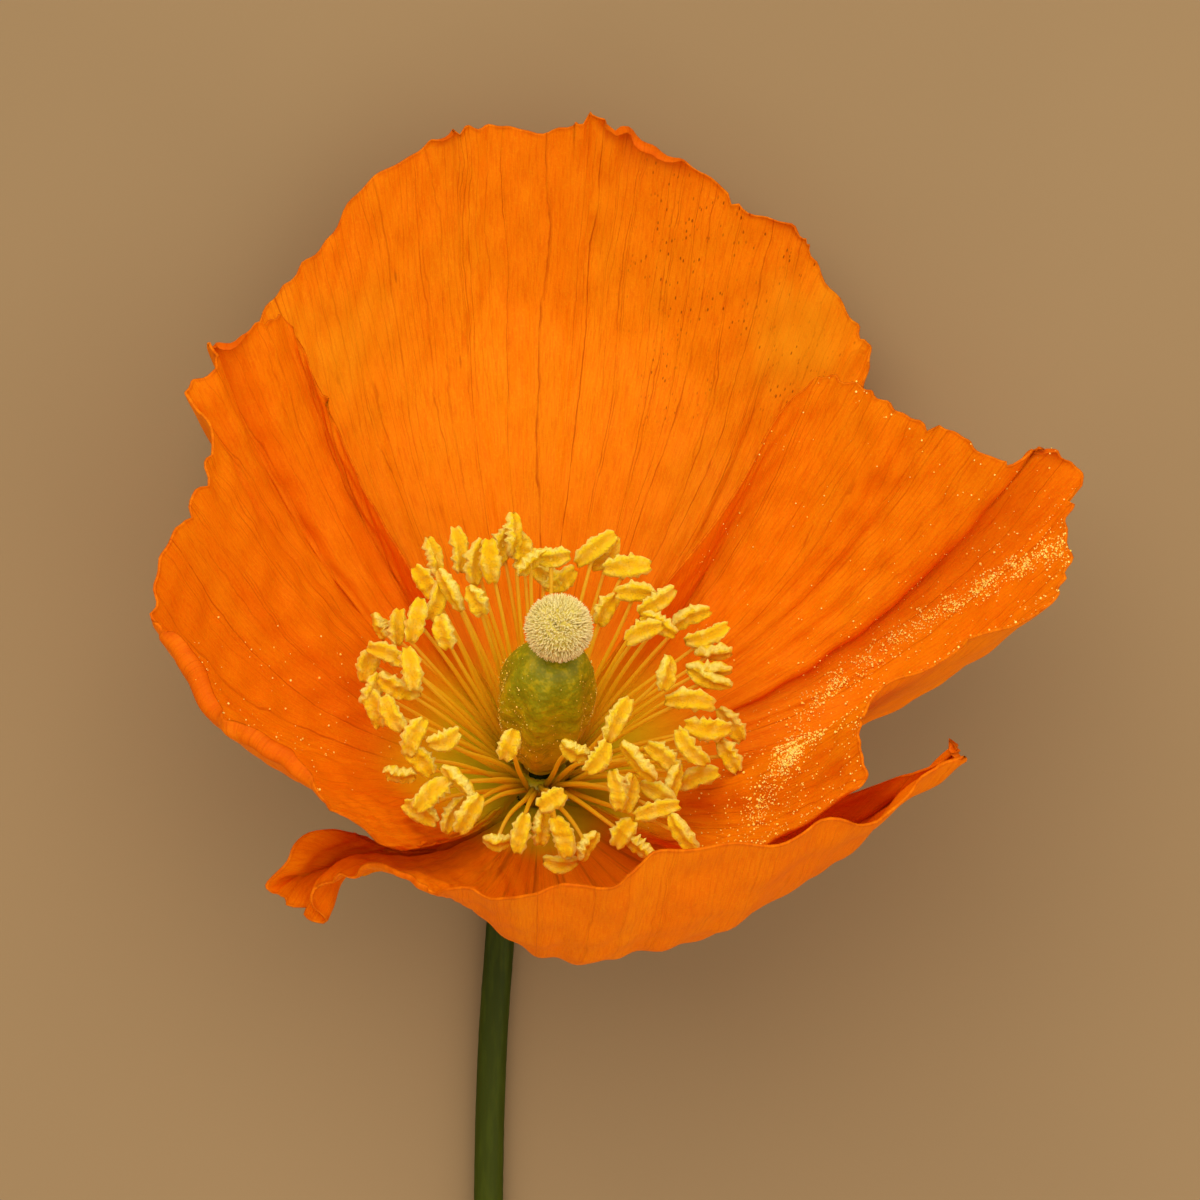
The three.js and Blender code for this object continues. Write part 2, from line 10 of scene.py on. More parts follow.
import bpy
import numpy as np
from bpy.props import FloatProperty, FloatVectorProperty, IntProperty, PointerProperty
from bpy.types import Operator, Panel, PropertyGroup
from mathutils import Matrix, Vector


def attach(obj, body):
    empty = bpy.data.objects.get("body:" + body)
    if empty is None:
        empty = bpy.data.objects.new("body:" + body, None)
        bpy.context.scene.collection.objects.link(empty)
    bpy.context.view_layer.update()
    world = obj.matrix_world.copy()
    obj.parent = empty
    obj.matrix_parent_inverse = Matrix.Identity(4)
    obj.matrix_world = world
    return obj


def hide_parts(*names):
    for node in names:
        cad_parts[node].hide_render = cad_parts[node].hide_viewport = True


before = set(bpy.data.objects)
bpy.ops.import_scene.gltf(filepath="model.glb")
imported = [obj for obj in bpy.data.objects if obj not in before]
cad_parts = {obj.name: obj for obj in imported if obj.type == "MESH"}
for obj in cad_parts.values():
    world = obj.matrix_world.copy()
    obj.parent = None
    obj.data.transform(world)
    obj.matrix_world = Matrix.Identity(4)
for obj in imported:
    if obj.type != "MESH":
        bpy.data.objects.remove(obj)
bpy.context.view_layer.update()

bl_info = {
    "name": "Poppy flower",
    "version": (1, 0, 0),
    "blender": (4, 5, 0),
    "location": "View3D > Sidebar > Poppy",
    "description": "Fine petals, stamens, ovary, stigma and stem for a poppy flower",
    "category": "Add Mesh",
}

# ---------- Places and sizes, mm and degrees ----------

MM = 0.001
BASE_HEIGHT = 7.4               # foot of the flower above the surface
REST_SPOT = (0.0, 22.5)         # flat spot of the back petal, from the foot
FOOT = np.array([-REST_SPOT[0], -REST_SPOT[1], BASE_HEIGHT])
FACING = np.array([0.05, 0.61, 0.79])   # the way the flower opens

CLAW_RADIUS = 1.35              # of the circle that the petals grow from
CLAW_HALF_ANGLE = 38.0
FRONT_CLAW_HALF_ANGLE = 65.0    # the front petal closes the foot under its neighbours
OUTER_CLAW_LEVEL = -2.55
INNER_CLAW_LEVEL = -1.5
HOOK_PLACE = 2.5                # higher puts the turn of a hooked rib nearer its end

STEM_RADIUS = 0.9
RECEPTACLE_RADIUS = 1.8
RECEPTACLE_LEVEL = -3.0
RECEPTACLE_LENGTH = 2.6
CORE_RADIUS = 0.65
CORE_LEVEL = 0.5
STEM_ROUTE = [
    (-2.5, -10.4),
    (-2.95, -17.0),
    (-3.2, -26.0),
    (-3.1, -38.0),
    (-2.4, -52.0),
    (-0.9, -68.0),
    (1.4, -86.0),
]

OVARY_LEVEL = 0.8
OVARY_LENGTH = 10.7
OVARY_RADIUS = 2.75
OVARY_RIBS = 7
OVARY_FOOT = 1.1
OVARY_SHOULDER = 1.5            # above 1 puts its widest part nearer the top
OVARY_FULLNESS = 0.4            # lower is fuller
STYLE_RADIUS = 0.75
STIGMA_RADIUS = 1.95
STIGMA_LEVEL = 13.9
STIGMA_OFFSET = 0.5

RING_INNER = 1.3
RING_OUTER = 2.1
RING_LEVEL = 0.0
RING_HEIGHT = 0.5
HUB_LEVEL = -2.3                # foot of the hub that fills the middle below the ring
HUB_INNER = 1.15
HUB_OUTER = 1.28
FILAMENT_SINK = 0.2
ROOT_ROWS = (0.2, 0.5, 0.8)     # rows of roots, from the inside of the ring to its outside
STAMEN_REACH = 13.5             # how far most anthers are from the foot
LOWEST_REACH = 3.6              # and how low they may lie

# Stamens: where the anther is, its turn in X and Y, its length, its
# roll, where 0 shows both lobes, and how far it is above or below the rest.
STAMENS = [
    (-6.2, 12.7, 103, 2.4, 40, 0),
    (-4.7, 13.1, 96, 2.8, 20, 0.3),
    (-3.8, 12.4, 80, 2.8, 30, 0.6),
    (-2.9, 12.4, 95, 2.7, 0, 0.9),
    (-2.2, 13.4, 70, 2.4, 20, -0.3),
    (-1.5, 14.0, 90, 2.6, 50, 0.6),
    (-1.0, 13.1, 100, 2.4, 20, 0),
    (-0.5, 12.4, 40, 2.2, 60, 0.6),
    (0.7, 12.6, 0, 2.3, 30, 0.8),
    (0.3, 11.6, -40, 2.2, 20, -3.2),
    (3.3, 13.2, 37, 3.0, 10, 0.6),
    (4.1, 12.7, 50, 2.5, 30, -0.4),
    (5.2, 12.1, 3, 2.9, 0, 0.9),
    (3.9, 9.6, 60, 2.1, 30, -4.2),
    (5.7, 10.6, 0, 2.4, 20, -0.6),
    (7.0, 10.0, 35, 2.6, 20, 0.3),
    (6.1, 8.3, 25, 2.4, 10, -0.8),
    (7.1, 8.7, -30, 2.3, 30, -0.2),
    (8.8, 9.1, 25, 2.8, 40, 0),
    (10.0, 7.9, 20, 2.8, 0, 0.6),
    (10.3, 7.0, 0, 2.2, 70, 0),
    (10.0, 6.0, -5, 2.7, 70, 0.7),
    (10.0, 5.4, -20, 2.8, 40, 0.4),
    (7.5, 5.8, 80, 2.1, 40, 0.6),
    (8.9, 4.3, -5, 3.0, 10, 0.6),
    (4.6, 3.2, 62, 2.9, 20, 0.3),
    (9.9, 2.5, -5, 2.8, 0, 0.9),
    (11.4, 2.8, -55, 2.4, 30, -0.4),
    (11.2, 1.0, -60, 2.2, 30, 1.5),
    (8.8, 1.4, -50, 2.8, 10, 0.6),
    (7.3, 1.0, -40, 2.4, 20, -0.6),
    (9.3, -0.2, 20, 2.6, 10, -0.5),
    (7.9, -0.4, 75, 2.0, 50, -0.3),
    (2.1, 1.3, -25, 1.8, 50, 0),
    (3.6, 0.9, 55, 2.2, 10, 0.7),
    (5.8, 0.7, -48, 3.0, 60, 0.3),
    (4.6, -0.9, -80, 2.4, 10, 0.6),
    (5.3, -1.1, 80, 2.3, 40, -0.4),
    (7.0, -1.1, -30, 2.3, 20, -0.4),
    (6.9, -2.1, 15, 2.8, 0, 0.7),
    (4.9, -3.4, 55, 1.9, 10, 0.2),
    (8.4, -3.5, -55, 2.7, 40, 2.8),
    (6.0, -4.3, -35, 2.0, 60, 0.6),
    (0.8, -1.5, 30, 1.8, 0, 0),
    (-1.0, -3.4, 80, 2.4, 0, 0.3),
    (0.2, -3.1, 85, 2.1, 40, -0.6),
    (1.5, -3.6, -72, 2.5, 0, 0.4),
    (2.8, -4.1, 60, 1.9, 60, 0.2),
    (1.3, -5.3, 0, 2.0, 20, -0.6),
    (-2.4, -4.0, -5, 1.6, 50, -0.4),
    (-1.7, 1.7, 70, 1.9, 20, 0),
    (-5.4, 1.9, 20, 2.0, 20, 0),
    (-7.3, 2.2, 65, 2.4, 20, 0.5),
    (-6.8, 0.8, -45, 2.2, 20, -0.5),
    (-8.1, -0.1, -10, 1.9, 60, -0.3),
    (-6.2, -1.1, 40, 2.7, 0, 0.7),
    (-6.8, -2.2, -30, 2.3, 20, 0.3),
    (-4.5, -0.4, -45, 2.7, 70, 0.2),
    (-5.0, -2.3, 60, 2.4, 30, -0.5),
    (-4.0, -2.3, 60, 2.6, 30, 0.5),
    (-8.6, 3.4, -60, 2.4, 10, 0.6),
    (-9.5, 3.8, -70, 2.4, 20, -0.2),
    (-9.7, 4.8, 60, 2.0, 30, 0.3),
    (-8.2, 4.9, -20, 2.7, 30, -0.5),
    (-7.4, 6.1, -80, 2.6, 0, 0.9),
    (-8.9, 7.0, -25, 2.5, 10, 0.3),
    (-10.1, 6.4, 70, 2.4, 10, 0),
    (-9.4, 8.6, -65, 1.6, 70, 0),
    (-8.4, 8.5, 85, 2.2, 20, -0.5),
    (-7.2, 8.9, 75, 2.7, 0, 0.8),
    (-6.6, 11.0, -50, 2.7, 10, 0.6),
    (-6.0, 10.0, 75, 2.4, 20, -0.4),
    (-5.6, 8.2, -75, 2.1, 30, -0.8),
    (-5.2, 10.7, -60, 2.8, 60, 0.5),
    (-3.6, 10.1, -65, 1.9, 40, 0.2),
    (1.3, 11.2, 30, 2.2, 20, -3.8),
]

# Petal outlines, counterclockwise seen from the front. Each row is the end of
# one rib: x, y, z, how far the rib bellies out, and, where it turns back like a
# hook, how far its upper part rises above its end.
BACK_OUTLINE = [
    (5.2, 7.2, -4.0, 1.2),
    (10.0, 10.6, -5.0, 2.0),
    (14.5, 13.6, -5.0, 2.6),
    (18.3, 18.2, -3.8, 3.6),
    (19.6, 23.0, -2.0, 4.4),
    (20.0, 25.5, -2.0, 5.0),
    (18.9, 27.2, -2.4, 5.4),
    (16.6, 30.5, -1.8, 6.0),
    (15.5, 32.6, -1.0, 6.4),
    (12.2, 33.8, -1.4, 6.8),
    (9.1, 36.5, -1.2, 7.2),
    (6.0, 38.1, -0.8, 7.4),
    (3.5, 39.4, 0.2, 7.6),
    (2.0, 38.6, -0.6, 7.6),
    (-0.8, 38.5, -1.4, 7.6),
    (-3.4, 38.7, -0.8, 7.5),
    (-5.2, 38.5, -0.2, 7.3),
    (-7.4, 37.1, -0.8, 7.0),
    (-10.2, 35.6, -0.6, 6.6),
    (-12.6, 32.3, -1.4, 6.2),
    (-14.7, 29.9, -1.8, 5.8),
    (-16.5, 28.0, -2.0, 5.4),
    (-18.4, 24.6, -1.6, 4.8),
    (-19.7, 20.3, -2.0, 4.0),
    (-18.6, 15.6, -3.8, 3.0),
    (-14.6, 12.0, -5.0, 2.2),
    (-9.6, 9.6, -4.6, 1.6),
    (-4.8, 7.0, -3.8, 1.2),
]
LEFT_OUTLINE = [
    (-2.6, 4.4, -0.6, 0.4),
    (-6.0, 9.4, 0.0, 1.2),
    (-9.2, 14.8, 0.4, 2.2),
    (-11.5, 19.2, 2.0, 3.0),
    (-13.3, 23.6, 4.2, 3.6),
    (-15.3, 26.9, 6.4, 4.0),
    (-17.2, 25.9, 8.6, 4.2),
    (-19.5, 25.0, 8.6, 4.2),
    (-19.0, 23.8, 10.2, 4.2),
    (-20.6, 22.3, 11.4, 3.6),
    (-19.4, 20.3, 12.4, 3.2),
    (-19.7, 16.8, 14.0, 3.4),
    (-21.5, 13.4, 15.6, 4.2),
    (-22.1, 9.6, 17.6, 4.4),
    (-21.6, 7.4, 18.8, 4.0),
    (-18.5, 3.1, 21.0, 3.2),
    (-16.5, 1.9, 22.0, 2.8),
    (-13.3, -0.4, 22.6, 2.2),
    (-11.4, -2.1, 20.8, 1.8),
    (-9.1, -3.9, 17.0, 1.3),
    (-7.6, -4.4, 13.0, 1.0),
    (-5.8, -4.3, 9.0, 0.9),
    (-4.0, -3.7, 5.6, 0.5),
    (-2.5, -2.6, 3.0, 0.2),
]
FRONT_OUTLINE = [
    (-3.0, -4.0, -0.6, 0.3),
    (-6.2, -4.6, 2.0, 0.9),
    (-9.4, -4.4, 5.6, 1.7),
    (-12.2, -3.1, 10.2, 2.2),
    (-14.5, -4.5, 11.8, 2.4, 0.5),
    (-15.9, -6.6, 11.4, 2.6, 1.0),
    (-15.1, -7.5, 10.6, 2.4, 1.8),
    (-12.8, -8.7, 10.0, 2.2, 2.8),
    (-12.6, -6.9, 12.0, 2.2, 1.8),
    (-11.2, -6.2, 13.0, 2.2, 1.0),
    (-10.2, -5.6, 14.0, 2.2, 0.3),
    (-7.9, -6.1, 16.0, 2.2, 0.2),
    (-6.3, -6.9, 17.5, 2.6, 0.3),
    (-5.1, -6.5, 19.5, 3.0),
    (-2.8, -6.9, 22.0, 4.2),
    (-0.4, -6.7, 24.0, 5.6),
    (1.8, -6.0, 25.5, 6.5),
    (4.7, -6.0, 26.8, 6.8),
    (6.4, -4.4, 27.5, 7.2),
    (9.2, -3.8, 27.5, 7.4),
    (13.1, -3.7, 26.4, 7.0),
    (16.8, -2.6, 24.8, 6.4),
    (19.6, -2.4, 22.0, 5.6),
    (22.0, -0.4, 20.4, 5.0),
    (24.5, 1.0, 19.2, 4.6),
    (24.2, 2.0, 19.2, 4.8),
    (21.8, 0.6, 17.4, 5.2),
    (18.8, -0.8, 13.2, 4.6),
    (14.4, -2.5, 7.2, 3.1),
    (9.4, -4.1, 1.2, 1.7),
    (4.4, -4.6, -1.8, 0.6),
]
# The first and last rib of the front petal are short and lie under the side petals.
FRONT_FLAPS = [(-4.3, -0.9, -1.2, 0.2), (4.1, -1.2, -1.5, 0.2)]
RIGHT_OUTLINE = [
    (3.2, -2.3, 3.0, 0.2),
    (5.2, -3.3, 5.4, 0.4),
    (7.2, -4.0, 8.4, 0.7),
    (9.4, -4.4, 11.6, 1.1),
    (13.0, -4.1, 15.8, 2.1),
    (16.6, -2.1, 19.8, 2.8),
    (18.6, 0.0, 21.0, 3.4),
    (18.6, 1.9, 21.0, 3.4),
    (18.7, 3.6, 20.6, 2.6),
    (21.2, 5.6, 19.4, 2.8),
    (25.2, 7.5, 16.8, 3.2),
    (29.9, 9.9, 13.0, 4.2),
    (30.9, 11.8, 12.0, 5.8),
    (31.1, 14.8, 10.2, 5.6),
    (32.0, 16.6, 9.2, 5.4),
    (31.1, 18.4, 8.8, 5.2),
    (29.3, 19.4, 8.8, 5.0),
    (27.9, 18.3, 9.6, 4.8),
    (25.4, 19.3, 8.6, 4.6),
    (23.7, 20.5, 7.4, 4.4),
    (21.2, 21.3, 7.2, 4.2),
    (19.4, 22.6, 5.4, 4.0),
    (17.1, 23.5, 4.4, 3.8),
    (14.5, 21.7, 3.0, 3.4),
    (10.8, 15.4, 1.0, 2.4),
    (6.0, 9.4, 0.0, 1.3),
    (2.6, 4.6, -0.6, 0.4),
]

# ---------- Vectors and curves ----------


def unit(vectors):
    return vectors / np.linalg.norm(vectors, axis=-1, keepdims=True)


FACING = unit(FACING)
ACROSS = unit(np.array([1.0, 0.0, 0.0]) - FACING * FACING[0])
AWAY = np.cross(FACING, ACROSS)


def polar(azimuth, radius, level):
    """Points by azimuth, distance from the flower's axis and level along it."""
    angle = np.radians(np.asarray(azimuth, float))[..., None]
    radius = np.asarray(radius, float)[..., None]
    level = np.asarray(level, float)[..., None]
    return level * FACING + radius * (np.cos(angle) * ACROSS + np.sin(angle) * AWAY)


def neighbours(rows, u):
    """The four rows round each place u on an open curve, and how far along it is."""
    rows = np.asarray(rows, float)
    place = np.clip(np.asarray(u, float), 0.0, 1.0) * (len(rows) - 1)
    first = np.minimum(place.astype(int), len(rows) - 2)
    before = 2 * rows[0] - rows[1]
    after = 2 * rows[-1] - rows[-2]
    padded = np.vstack([before, rows, after])
    return [padded[first + k] for k in range(4)], (place - first)[..., None]


def between(b, c, slope_b, slope_c, t):
    """The cubic from b to c that has the given slopes at its ends."""
    square = -3 * b + 3 * c - 2 * slope_b - slope_c
    cube = 2 * b - 2 * c + slope_b + slope_c
    return b + t * (slope_b + t * (square + t * cube))


def curve(points, u):
    """A smooth curve through points, with its knots spaced by the root of their distance."""
    (a, b, c, d), t = neighbours(points, u)
    ab, bc, cd = (
        np.sqrt(np.linalg.norm(q - p, axis=-1))[..., None]
        for p, q in ((a, b), (b, c), (c, d))
    )
    slope_b = ((b - a) / ab - (c - a) / (ab + bc) + (c - b) / bc) * bc
    slope_c = ((c - b) / bc - (d - b) / (bc + cd) + (d - c) / cd) * bc
    return between(b, c, slope_b, slope_c, t)


def track(values, u):
    """A smooth run of single values, evenly spaced."""
    (a, b, c, d), t = neighbours(np.asarray(values, float)[:, None], u)
    return between(b, c, (c - a) / 2, (d - b) / 2, t)[..., 0]


def step(values, low, high):
    """0 below low, 1 above high, smooth between."""
    t = np.clip((values - low) / (high - low), 0.0, 1.0)
    return t * t * (3 - 2 * t)


def bump(values, middle, width):
    return np.exp(-(((values - middle) / width) ** 2))


def ripple(rng, u, v, count, low, high, skew):
    """A sum of waves across u that drift a little with v, about 1 in size."""
    total = 0
    for _ in range(count):
        waves = rng.uniform(low, high)
        drift = rng.uniform(-skew, skew)
        total = total + np.sin(2 * np.pi * (waves * u + drift * v + rng.random()))
    return total / math.sqrt(count / 2)


def ripple_round(rng, turn, t, count):
    """A sum of waves that closes on itself round a full turn."""
    total = 0
    for _ in range(count):
        waves = rng.integers(2, 14)
        total = total + np.sin(2 * np.pi * (waves * turn + rng.uniform(2, 12) * t + rng.random()))
    return total / math.sqrt(count / 2)


def surface_normals(points):
    """Unit normals of a grid of points, towards the inside of the flower."""
    along = np.gradient(points, axis=1)
    across = np.gradient(points, axis=0)
    return unit(np.cross(along, across))


# ---------- Meshes ----------


def make_mesh(name, points, faces, finish, body="root"):
    """A mesh object of points in mm from the foot, riding on the flower."""
    mesh = bpy.data.meshes.new(name)
    mesh.from_pydata(((points + FOOT) * MM).tolist(), [], faces)
    mesh.update()
    mesh.materials.append(finish)
    mesh.polygons.foreach_set("use_smooth", [True] * len(mesh.polygons))
    piece = bpy.data.objects.new(name, mesh)
    bpy.context.scene.collection.objects.link(piece)
    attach(piece, body)
    return piece


def add_value(piece, name, values):
    """A number for each point of a piece, for its finish to read."""
    layer = piece.data.attributes.new(name, "FLOAT", "POINT")
    layer.data.foreach_set("value", np.asarray(values, np.float32).ravel())


def grid_faces(columns, rows, first=0, flip=False):
    """Quads of a grid of points that run along rows first."""
    faces = []
    for c in range(columns - 1):
        for r in range(rows - 1):
            a = first + c * rows + r
            b = a + rows
            quad = (a, b, b + 1, a + 1)
            faces.append(quad[::-1] if flip else quad)
    return faces


def sheet_faces(columns, rows):
    """Faces of a closed sheet: its outer grid of points, its inner grid and its four edges."""
    count = columns * rows
    faces = grid_faces(columns, rows)
    faces += grid_faces(columns, rows, first=count, flip=True)
    for r in range(rows - 1):
        a = (columns - 1) * rows + r
        faces.append((r, r + 1, count + r + 1, count + r))
        faces.append((a + 1, a, count + a, count + a + 1))
    for c in range(columns - 1):
        a = c * rows
        b = a + rows
        rim_a = a + rows - 1
        rim_b = b + rows - 1
        faces.append((b, a, count + a, count + b))
        faces.append((rim_a, rim_b, count + rim_b, count + rim_a))
    return faces


def tube_points(centres, radii, sides, side_hint):
    """Rings round a line of centres. radii is one number, or one for each ring and side."""
    forward = unit(np.gradient(centres, axis=0))
    right = unit(np.cross(forward, side_hint))
    up = np.cross(right, forward)
    angle = 2 * np.pi * np.arange(sides) / sides
    radii = np.broadcast_to(radii, (len(centres), sides))[..., None]
    cosine = np.cos(angle)[None, :, None]
    sine = np.sin(angle)[None, :, None]
    around = cosine * right[:, None] + sine * up[:, None]
    return centres[:, None] + radii * around


def tube_faces(rings, sides, first=0, flip=False):
    """Faces of a closed tube whose points run ring by ring."""
    faces = []
    for r in range(rings - 1):
        a = first + r * sides
        for s in range(sides):
            t = (s + 1) % sides
            faces.append((a + s, a + sides + s, a + sides + t, a + t))
    faces.append(tuple(first + s for s in range(sides)))
    last = first + (rings - 1) * sides
    faces.append(tuple(last + s for s in reversed(range(sides))))
    return [face[::-1] for face in faces] if flip else faces


# ---------- Finishes ----------


class Socket:
    """A number from a node. Python's operators on it add Math nodes."""

    def __init__(self, finish, link):
        self.finish = finish
        self.link = link

    def math(self, operation, *values):
        sockets = dict(enumerate([self, *values]))
        return self.finish.node("ShaderNodeMath", {"operation": operation}, sockets)

    def __add__(self, other):
        return self.math("ADD", other)

    def __radd__(self, other):
        return self.math("ADD", other)

    def __sub__(self, other):
        return self.math("SUBTRACT", other)

    def __rsub__(self, other):
        return self.math("MULTIPLY", -1.0).math("ADD", other)

    def __mul__(self, other):
        return self.math("MULTIPLY", other)

    def __rmul__(self, other):
        return self.math("MULTIPLY", other)

    def __gt__(self, other):
        return self.math("GREATER_THAN", other)

    def floor(self):
        return self.math("FLOOR")

    def fract(self):
        return self.math("FRACT")

    def size(self):
        return self.math("ABSOLUTE")

    def step(self, low, high):
        """0 below low, 1 above high, smooth between."""
        ends = {"Value": self, "From Min": low, "From Max": high}
        return self.finish.node("ShaderNodeMapRange", {"interpolation_type": "SMOOTHSTEP"}, ends)


class Finish:
    """A material and the nodes that make it."""

    def __init__(self, name):
        self.material = bpy.data.materials.new(name)
        self.material.use_nodes = True
        self.tree = self.material.node_tree
        self.tree.nodes.clear()

    def node(self, kind, settings=None, values=None, output=0):
        """Adds a node: its settings first, then the values or links of its sockets."""
        made = self.tree.nodes.new(kind)
        for name, value in (settings or {}).items():
            setattr(made, name, value)
        for name, value in (values or {}).items():
            if isinstance(value, Socket):
                self.tree.links.new(value.link, made.inputs[name])
            else:
                made.inputs[name].default_value = value
        return None if output is None else Socket(self, made.outputs[output])

    def value_of(self, name):
        """A number kept for each point of the mesh."""
        return self.node("ShaderNodeAttribute", {"attribute_name": name}, output="Fac")

    def vector(self, x, y, z=0.0):
        return self.node("ShaderNodeCombineXYZ", {}, {0: x, 1: y, 2: z})

    def place(self):
        """Where a point is on the piece, in mm."""
        held = self.node("ShaderNodeTexCoord", output="Object")
        scaled = {"Vector": held, "Scale": 1 / MM}
        return self.node("ShaderNodeVectorMath", {"operation": "SCALE"}, scaled)

    def noise(self, vector, scale=1.0, detail=2.0, rough=0.5):
        values = {"Vector": vector, "Scale": scale, "Detail": detail, "Roughness": rough}
        return self.node("ShaderNodeTexNoise", {}, values)

    def chance(self, vector):
        """An even random number for each whole place."""
        return self.node("ShaderNodeTexWhiteNoise", {"noise_dimensions": "3D"}, {"Vector": vector})

    def cells(self, vector, scale=1.0, output="Distance"):
        """How far the nearest of many scattered points is, or where it is."""
        return self.node("ShaderNodeTexVoronoi", {}, {"Vector": vector, "Scale": scale}, output)

    def mix(self, factor, first, second):
        """A colour between two others."""
        sockets = {0: factor, 6: first, 7: second}
        return self.node("ShaderNodeMix", {"data_type": "RGBA"}, sockets, output=2)

    def layered(self, colour, layers):
        """A colour with others laid over it in turn, each as (share, colour)."""
        for share, tint in layers:
            colour = self.mix(share, colour, tint)
        return colour

    def bump(self, height, distance, strength):
        values = {"Height": height, "Distance": distance * MM, "Strength": strength}
        return self.node("ShaderNodeBump", {}, values)

    def coat(self, values, glow=0.0, glow_colour=None):
        """Ends the finish with a Principled shader, with some light let through if glow is set."""
        shader = self.node("ShaderNodeBsdfPrincipled", {}, values)
        if glow:
            through = {"Color": glow_colour}
            if "Normal" in values:
                through["Normal"] = values["Normal"]
            thin = self.node("ShaderNodeBsdfTranslucent", {}, through)
            shader = self.node("ShaderNodeMixShader", {}, {0: glow, 1: shader, 2: thin})
        self.node("ShaderNodeOutputMaterial", {}, {"Surface": shader}, output=None)
        return self.material


def rgb(red, green, blue):
    """A screen colour of 0 to 255 as the light values that shaders take."""
    linear = []
    for part in (red, green, blue):
        part /= 255
        linear.append(part / 12.92 if part <= 0.04045 else ((part + 0.055) / 1.055) ** 2.4)
    return (*linear, 1.0)


def opaque(colour):
    """A colour of three values with full alpha."""
    return (*colour, 1)


# ---------- Petals ----------

ROW_CROWDING = 1.45             # rows lie closer together towards the rim
REST_SOFTNESS = 0.5             # mm over which a petal levels out where it meets the surface
SIDE_FADE = (0.04, 0.16)        # part of the width at each side that stays plain
MIDDLE_ROW = 0.55               # where a petal's width is taken, from claw to rim
FAN_LIMITS = (0.05, 6)

# Waves of the petals: how many, the least and most of them across a petal, and
# how far they drift from claw to rim. Sizes are in mm.
RAGGED_WAVES = (9, 12, 60, 0)
RAGGED_SIZE = 0.25
RAGGED_LIMITS = (-2.0, 0.5)
RAGGED_POWER = 10               # higher keeps the raggedness nearer the rim
NOTCHES = 14
NOTCH_DEPTH = (0.4, 1.6)
NOTCH_WIDTH = (0.0015, 0.005)   # share of the rim
FOLD_WAVES = (8, 22, 44, 1.5)
FOLD_SIZE = 0.05
CRINKLE_WAVES = (10, 5, 26, 12)
CRINKLE_SIZE = 0.05
RUFFLE_WAVES = (7, 7, 30, 2.5)
RUFFLE_SHARE = 0.35
FOLDS_START = (0.12, 0.4)       # from claw to rim
RUFFLE_START = (0.72, 1.0)
LIFT = 0.15                     # of the outer face inwards, and its share at the sides
LIFT_LIMITS = (-0.3, 0.75)
ROLLED_TURN = (60, 120)         # degrees of roll from which a rim takes its darker colour
ROLLED_REACH = (0.8, 2.2)       # and how far down it goes, in radii of the roll

# Marks: boxes are low x, high x, low y, high y and softness, in mm from the foot.
SPECK_BOX = (5.5, 20, 21, 37, 2)
LINE_BOX = (-9, 0.5, 25, 36, 2)
YELLOW_BOX = (13, 19, 23, 29.5, 2)
PALE_YELLOW_BOX = (-16, -9, 22, 30, 3)
LEFT_DUST_BOX = (-21, -9, 0, 8, 2)
DUST_BAND = [(31.0, 13.4), (23.2, 9.2), (17.2, 4.6), (12.6, -2.4)]
CLUMP_WAVES = (9, 3, 14, 14)
CLUMP_SCALE = 30                # mm
CLUMP_SEED = 5
INNER_REDNESS = 0.4             # of the front petal's inner face, against its outer face

# Rolled rims: where along the rim, half its width there, radius in mm, turn in
# degrees. Claw and foot: mm from the foot over which their colour fades out.
PETALS = {
    "petal_back": {
        "outline": BACK_OUTLINE,
        "azimuth": 90,
        "claw_level": OUTER_CLAW_LEVEL,
        "seed": 11,
        "rolls": [(0.405, 0.045, 0.5, 170), (0.60, 0.02, 0.3, 120), (0.30, 0.03, 0.3, 100)],
        "jags": 0.35,
        "ruffle": 0.35,
        "claw": (4.5, 11.5),
        "foot": (2.5, 8.0),
        "veined": 1.0,
    },
    "petal_left": {
        "outline": LEFT_OUTLINE,
        "azimuth": 180,
        "claw_level": INNER_CLAW_LEVEL,
        "seed": 23,
        "rolls": [(0.63, 0.04, 0.55, 165), (0.71, 0.04, 0.5, 160), (0.28, 0.03, 0.4, 140)],
        "jags": 0.35,
        "ruffle": 0.28,
        "claw": (4.5, 11.5),
        "foot": (2.5, 8.0),
        "veined": 0.75,
    },
    "petal_front": {
        "outline": [FRONT_FLAPS[0], *FRONT_OUTLINE, FRONT_FLAPS[1]],
        "azimuth": 270,
        "claw_half_angle": FRONT_CLAW_HALF_ANGLE,
        "claw_level": OUTER_CLAW_LEVEL,
        "seed": 37,
        "rolls": [(0.80, 0.03, 0.35, 130), (0.38, 0.05, 0.3, 90)],
        "jags": 0.45,
        "ruffle": 0.35,
        "claw": (3.2, 6.6),
        "foot": (2.5, 6.5),
        "veined": 0.4,
    },
    "petal_right": {
        "outline": RIGHT_OUTLINE,
        "azimuth": 0,
        "claw_level": INNER_CLAW_LEVEL,
        "seed": 53,
        "rolls": [(0.60, 0.03, 0.35, 120)],
        "jags": 0.35,
        "ruffle": 0.35,
        "claw": (4.5, 11.5),
        "foot": (2.5, 8.0),
        "veined": 0.8,
    },
}


def ragged_rim(rng, u, jags):
    """How far each rib runs past the outline: small waves, cut by a few notches."""
    ragged = ripple(rng, u, 0, *RAGGED_WAVES) * RAGGED_SIZE
    for _ in range(NOTCHES):
        depth = rng.uniform(*NOTCH_DEPTH)
        ragged -= depth * bump(u, rng.random(), rng.uniform(*NOTCH_WIDTH))
    return np.clip(ragged, *RAGGED_LIMITS) * jags


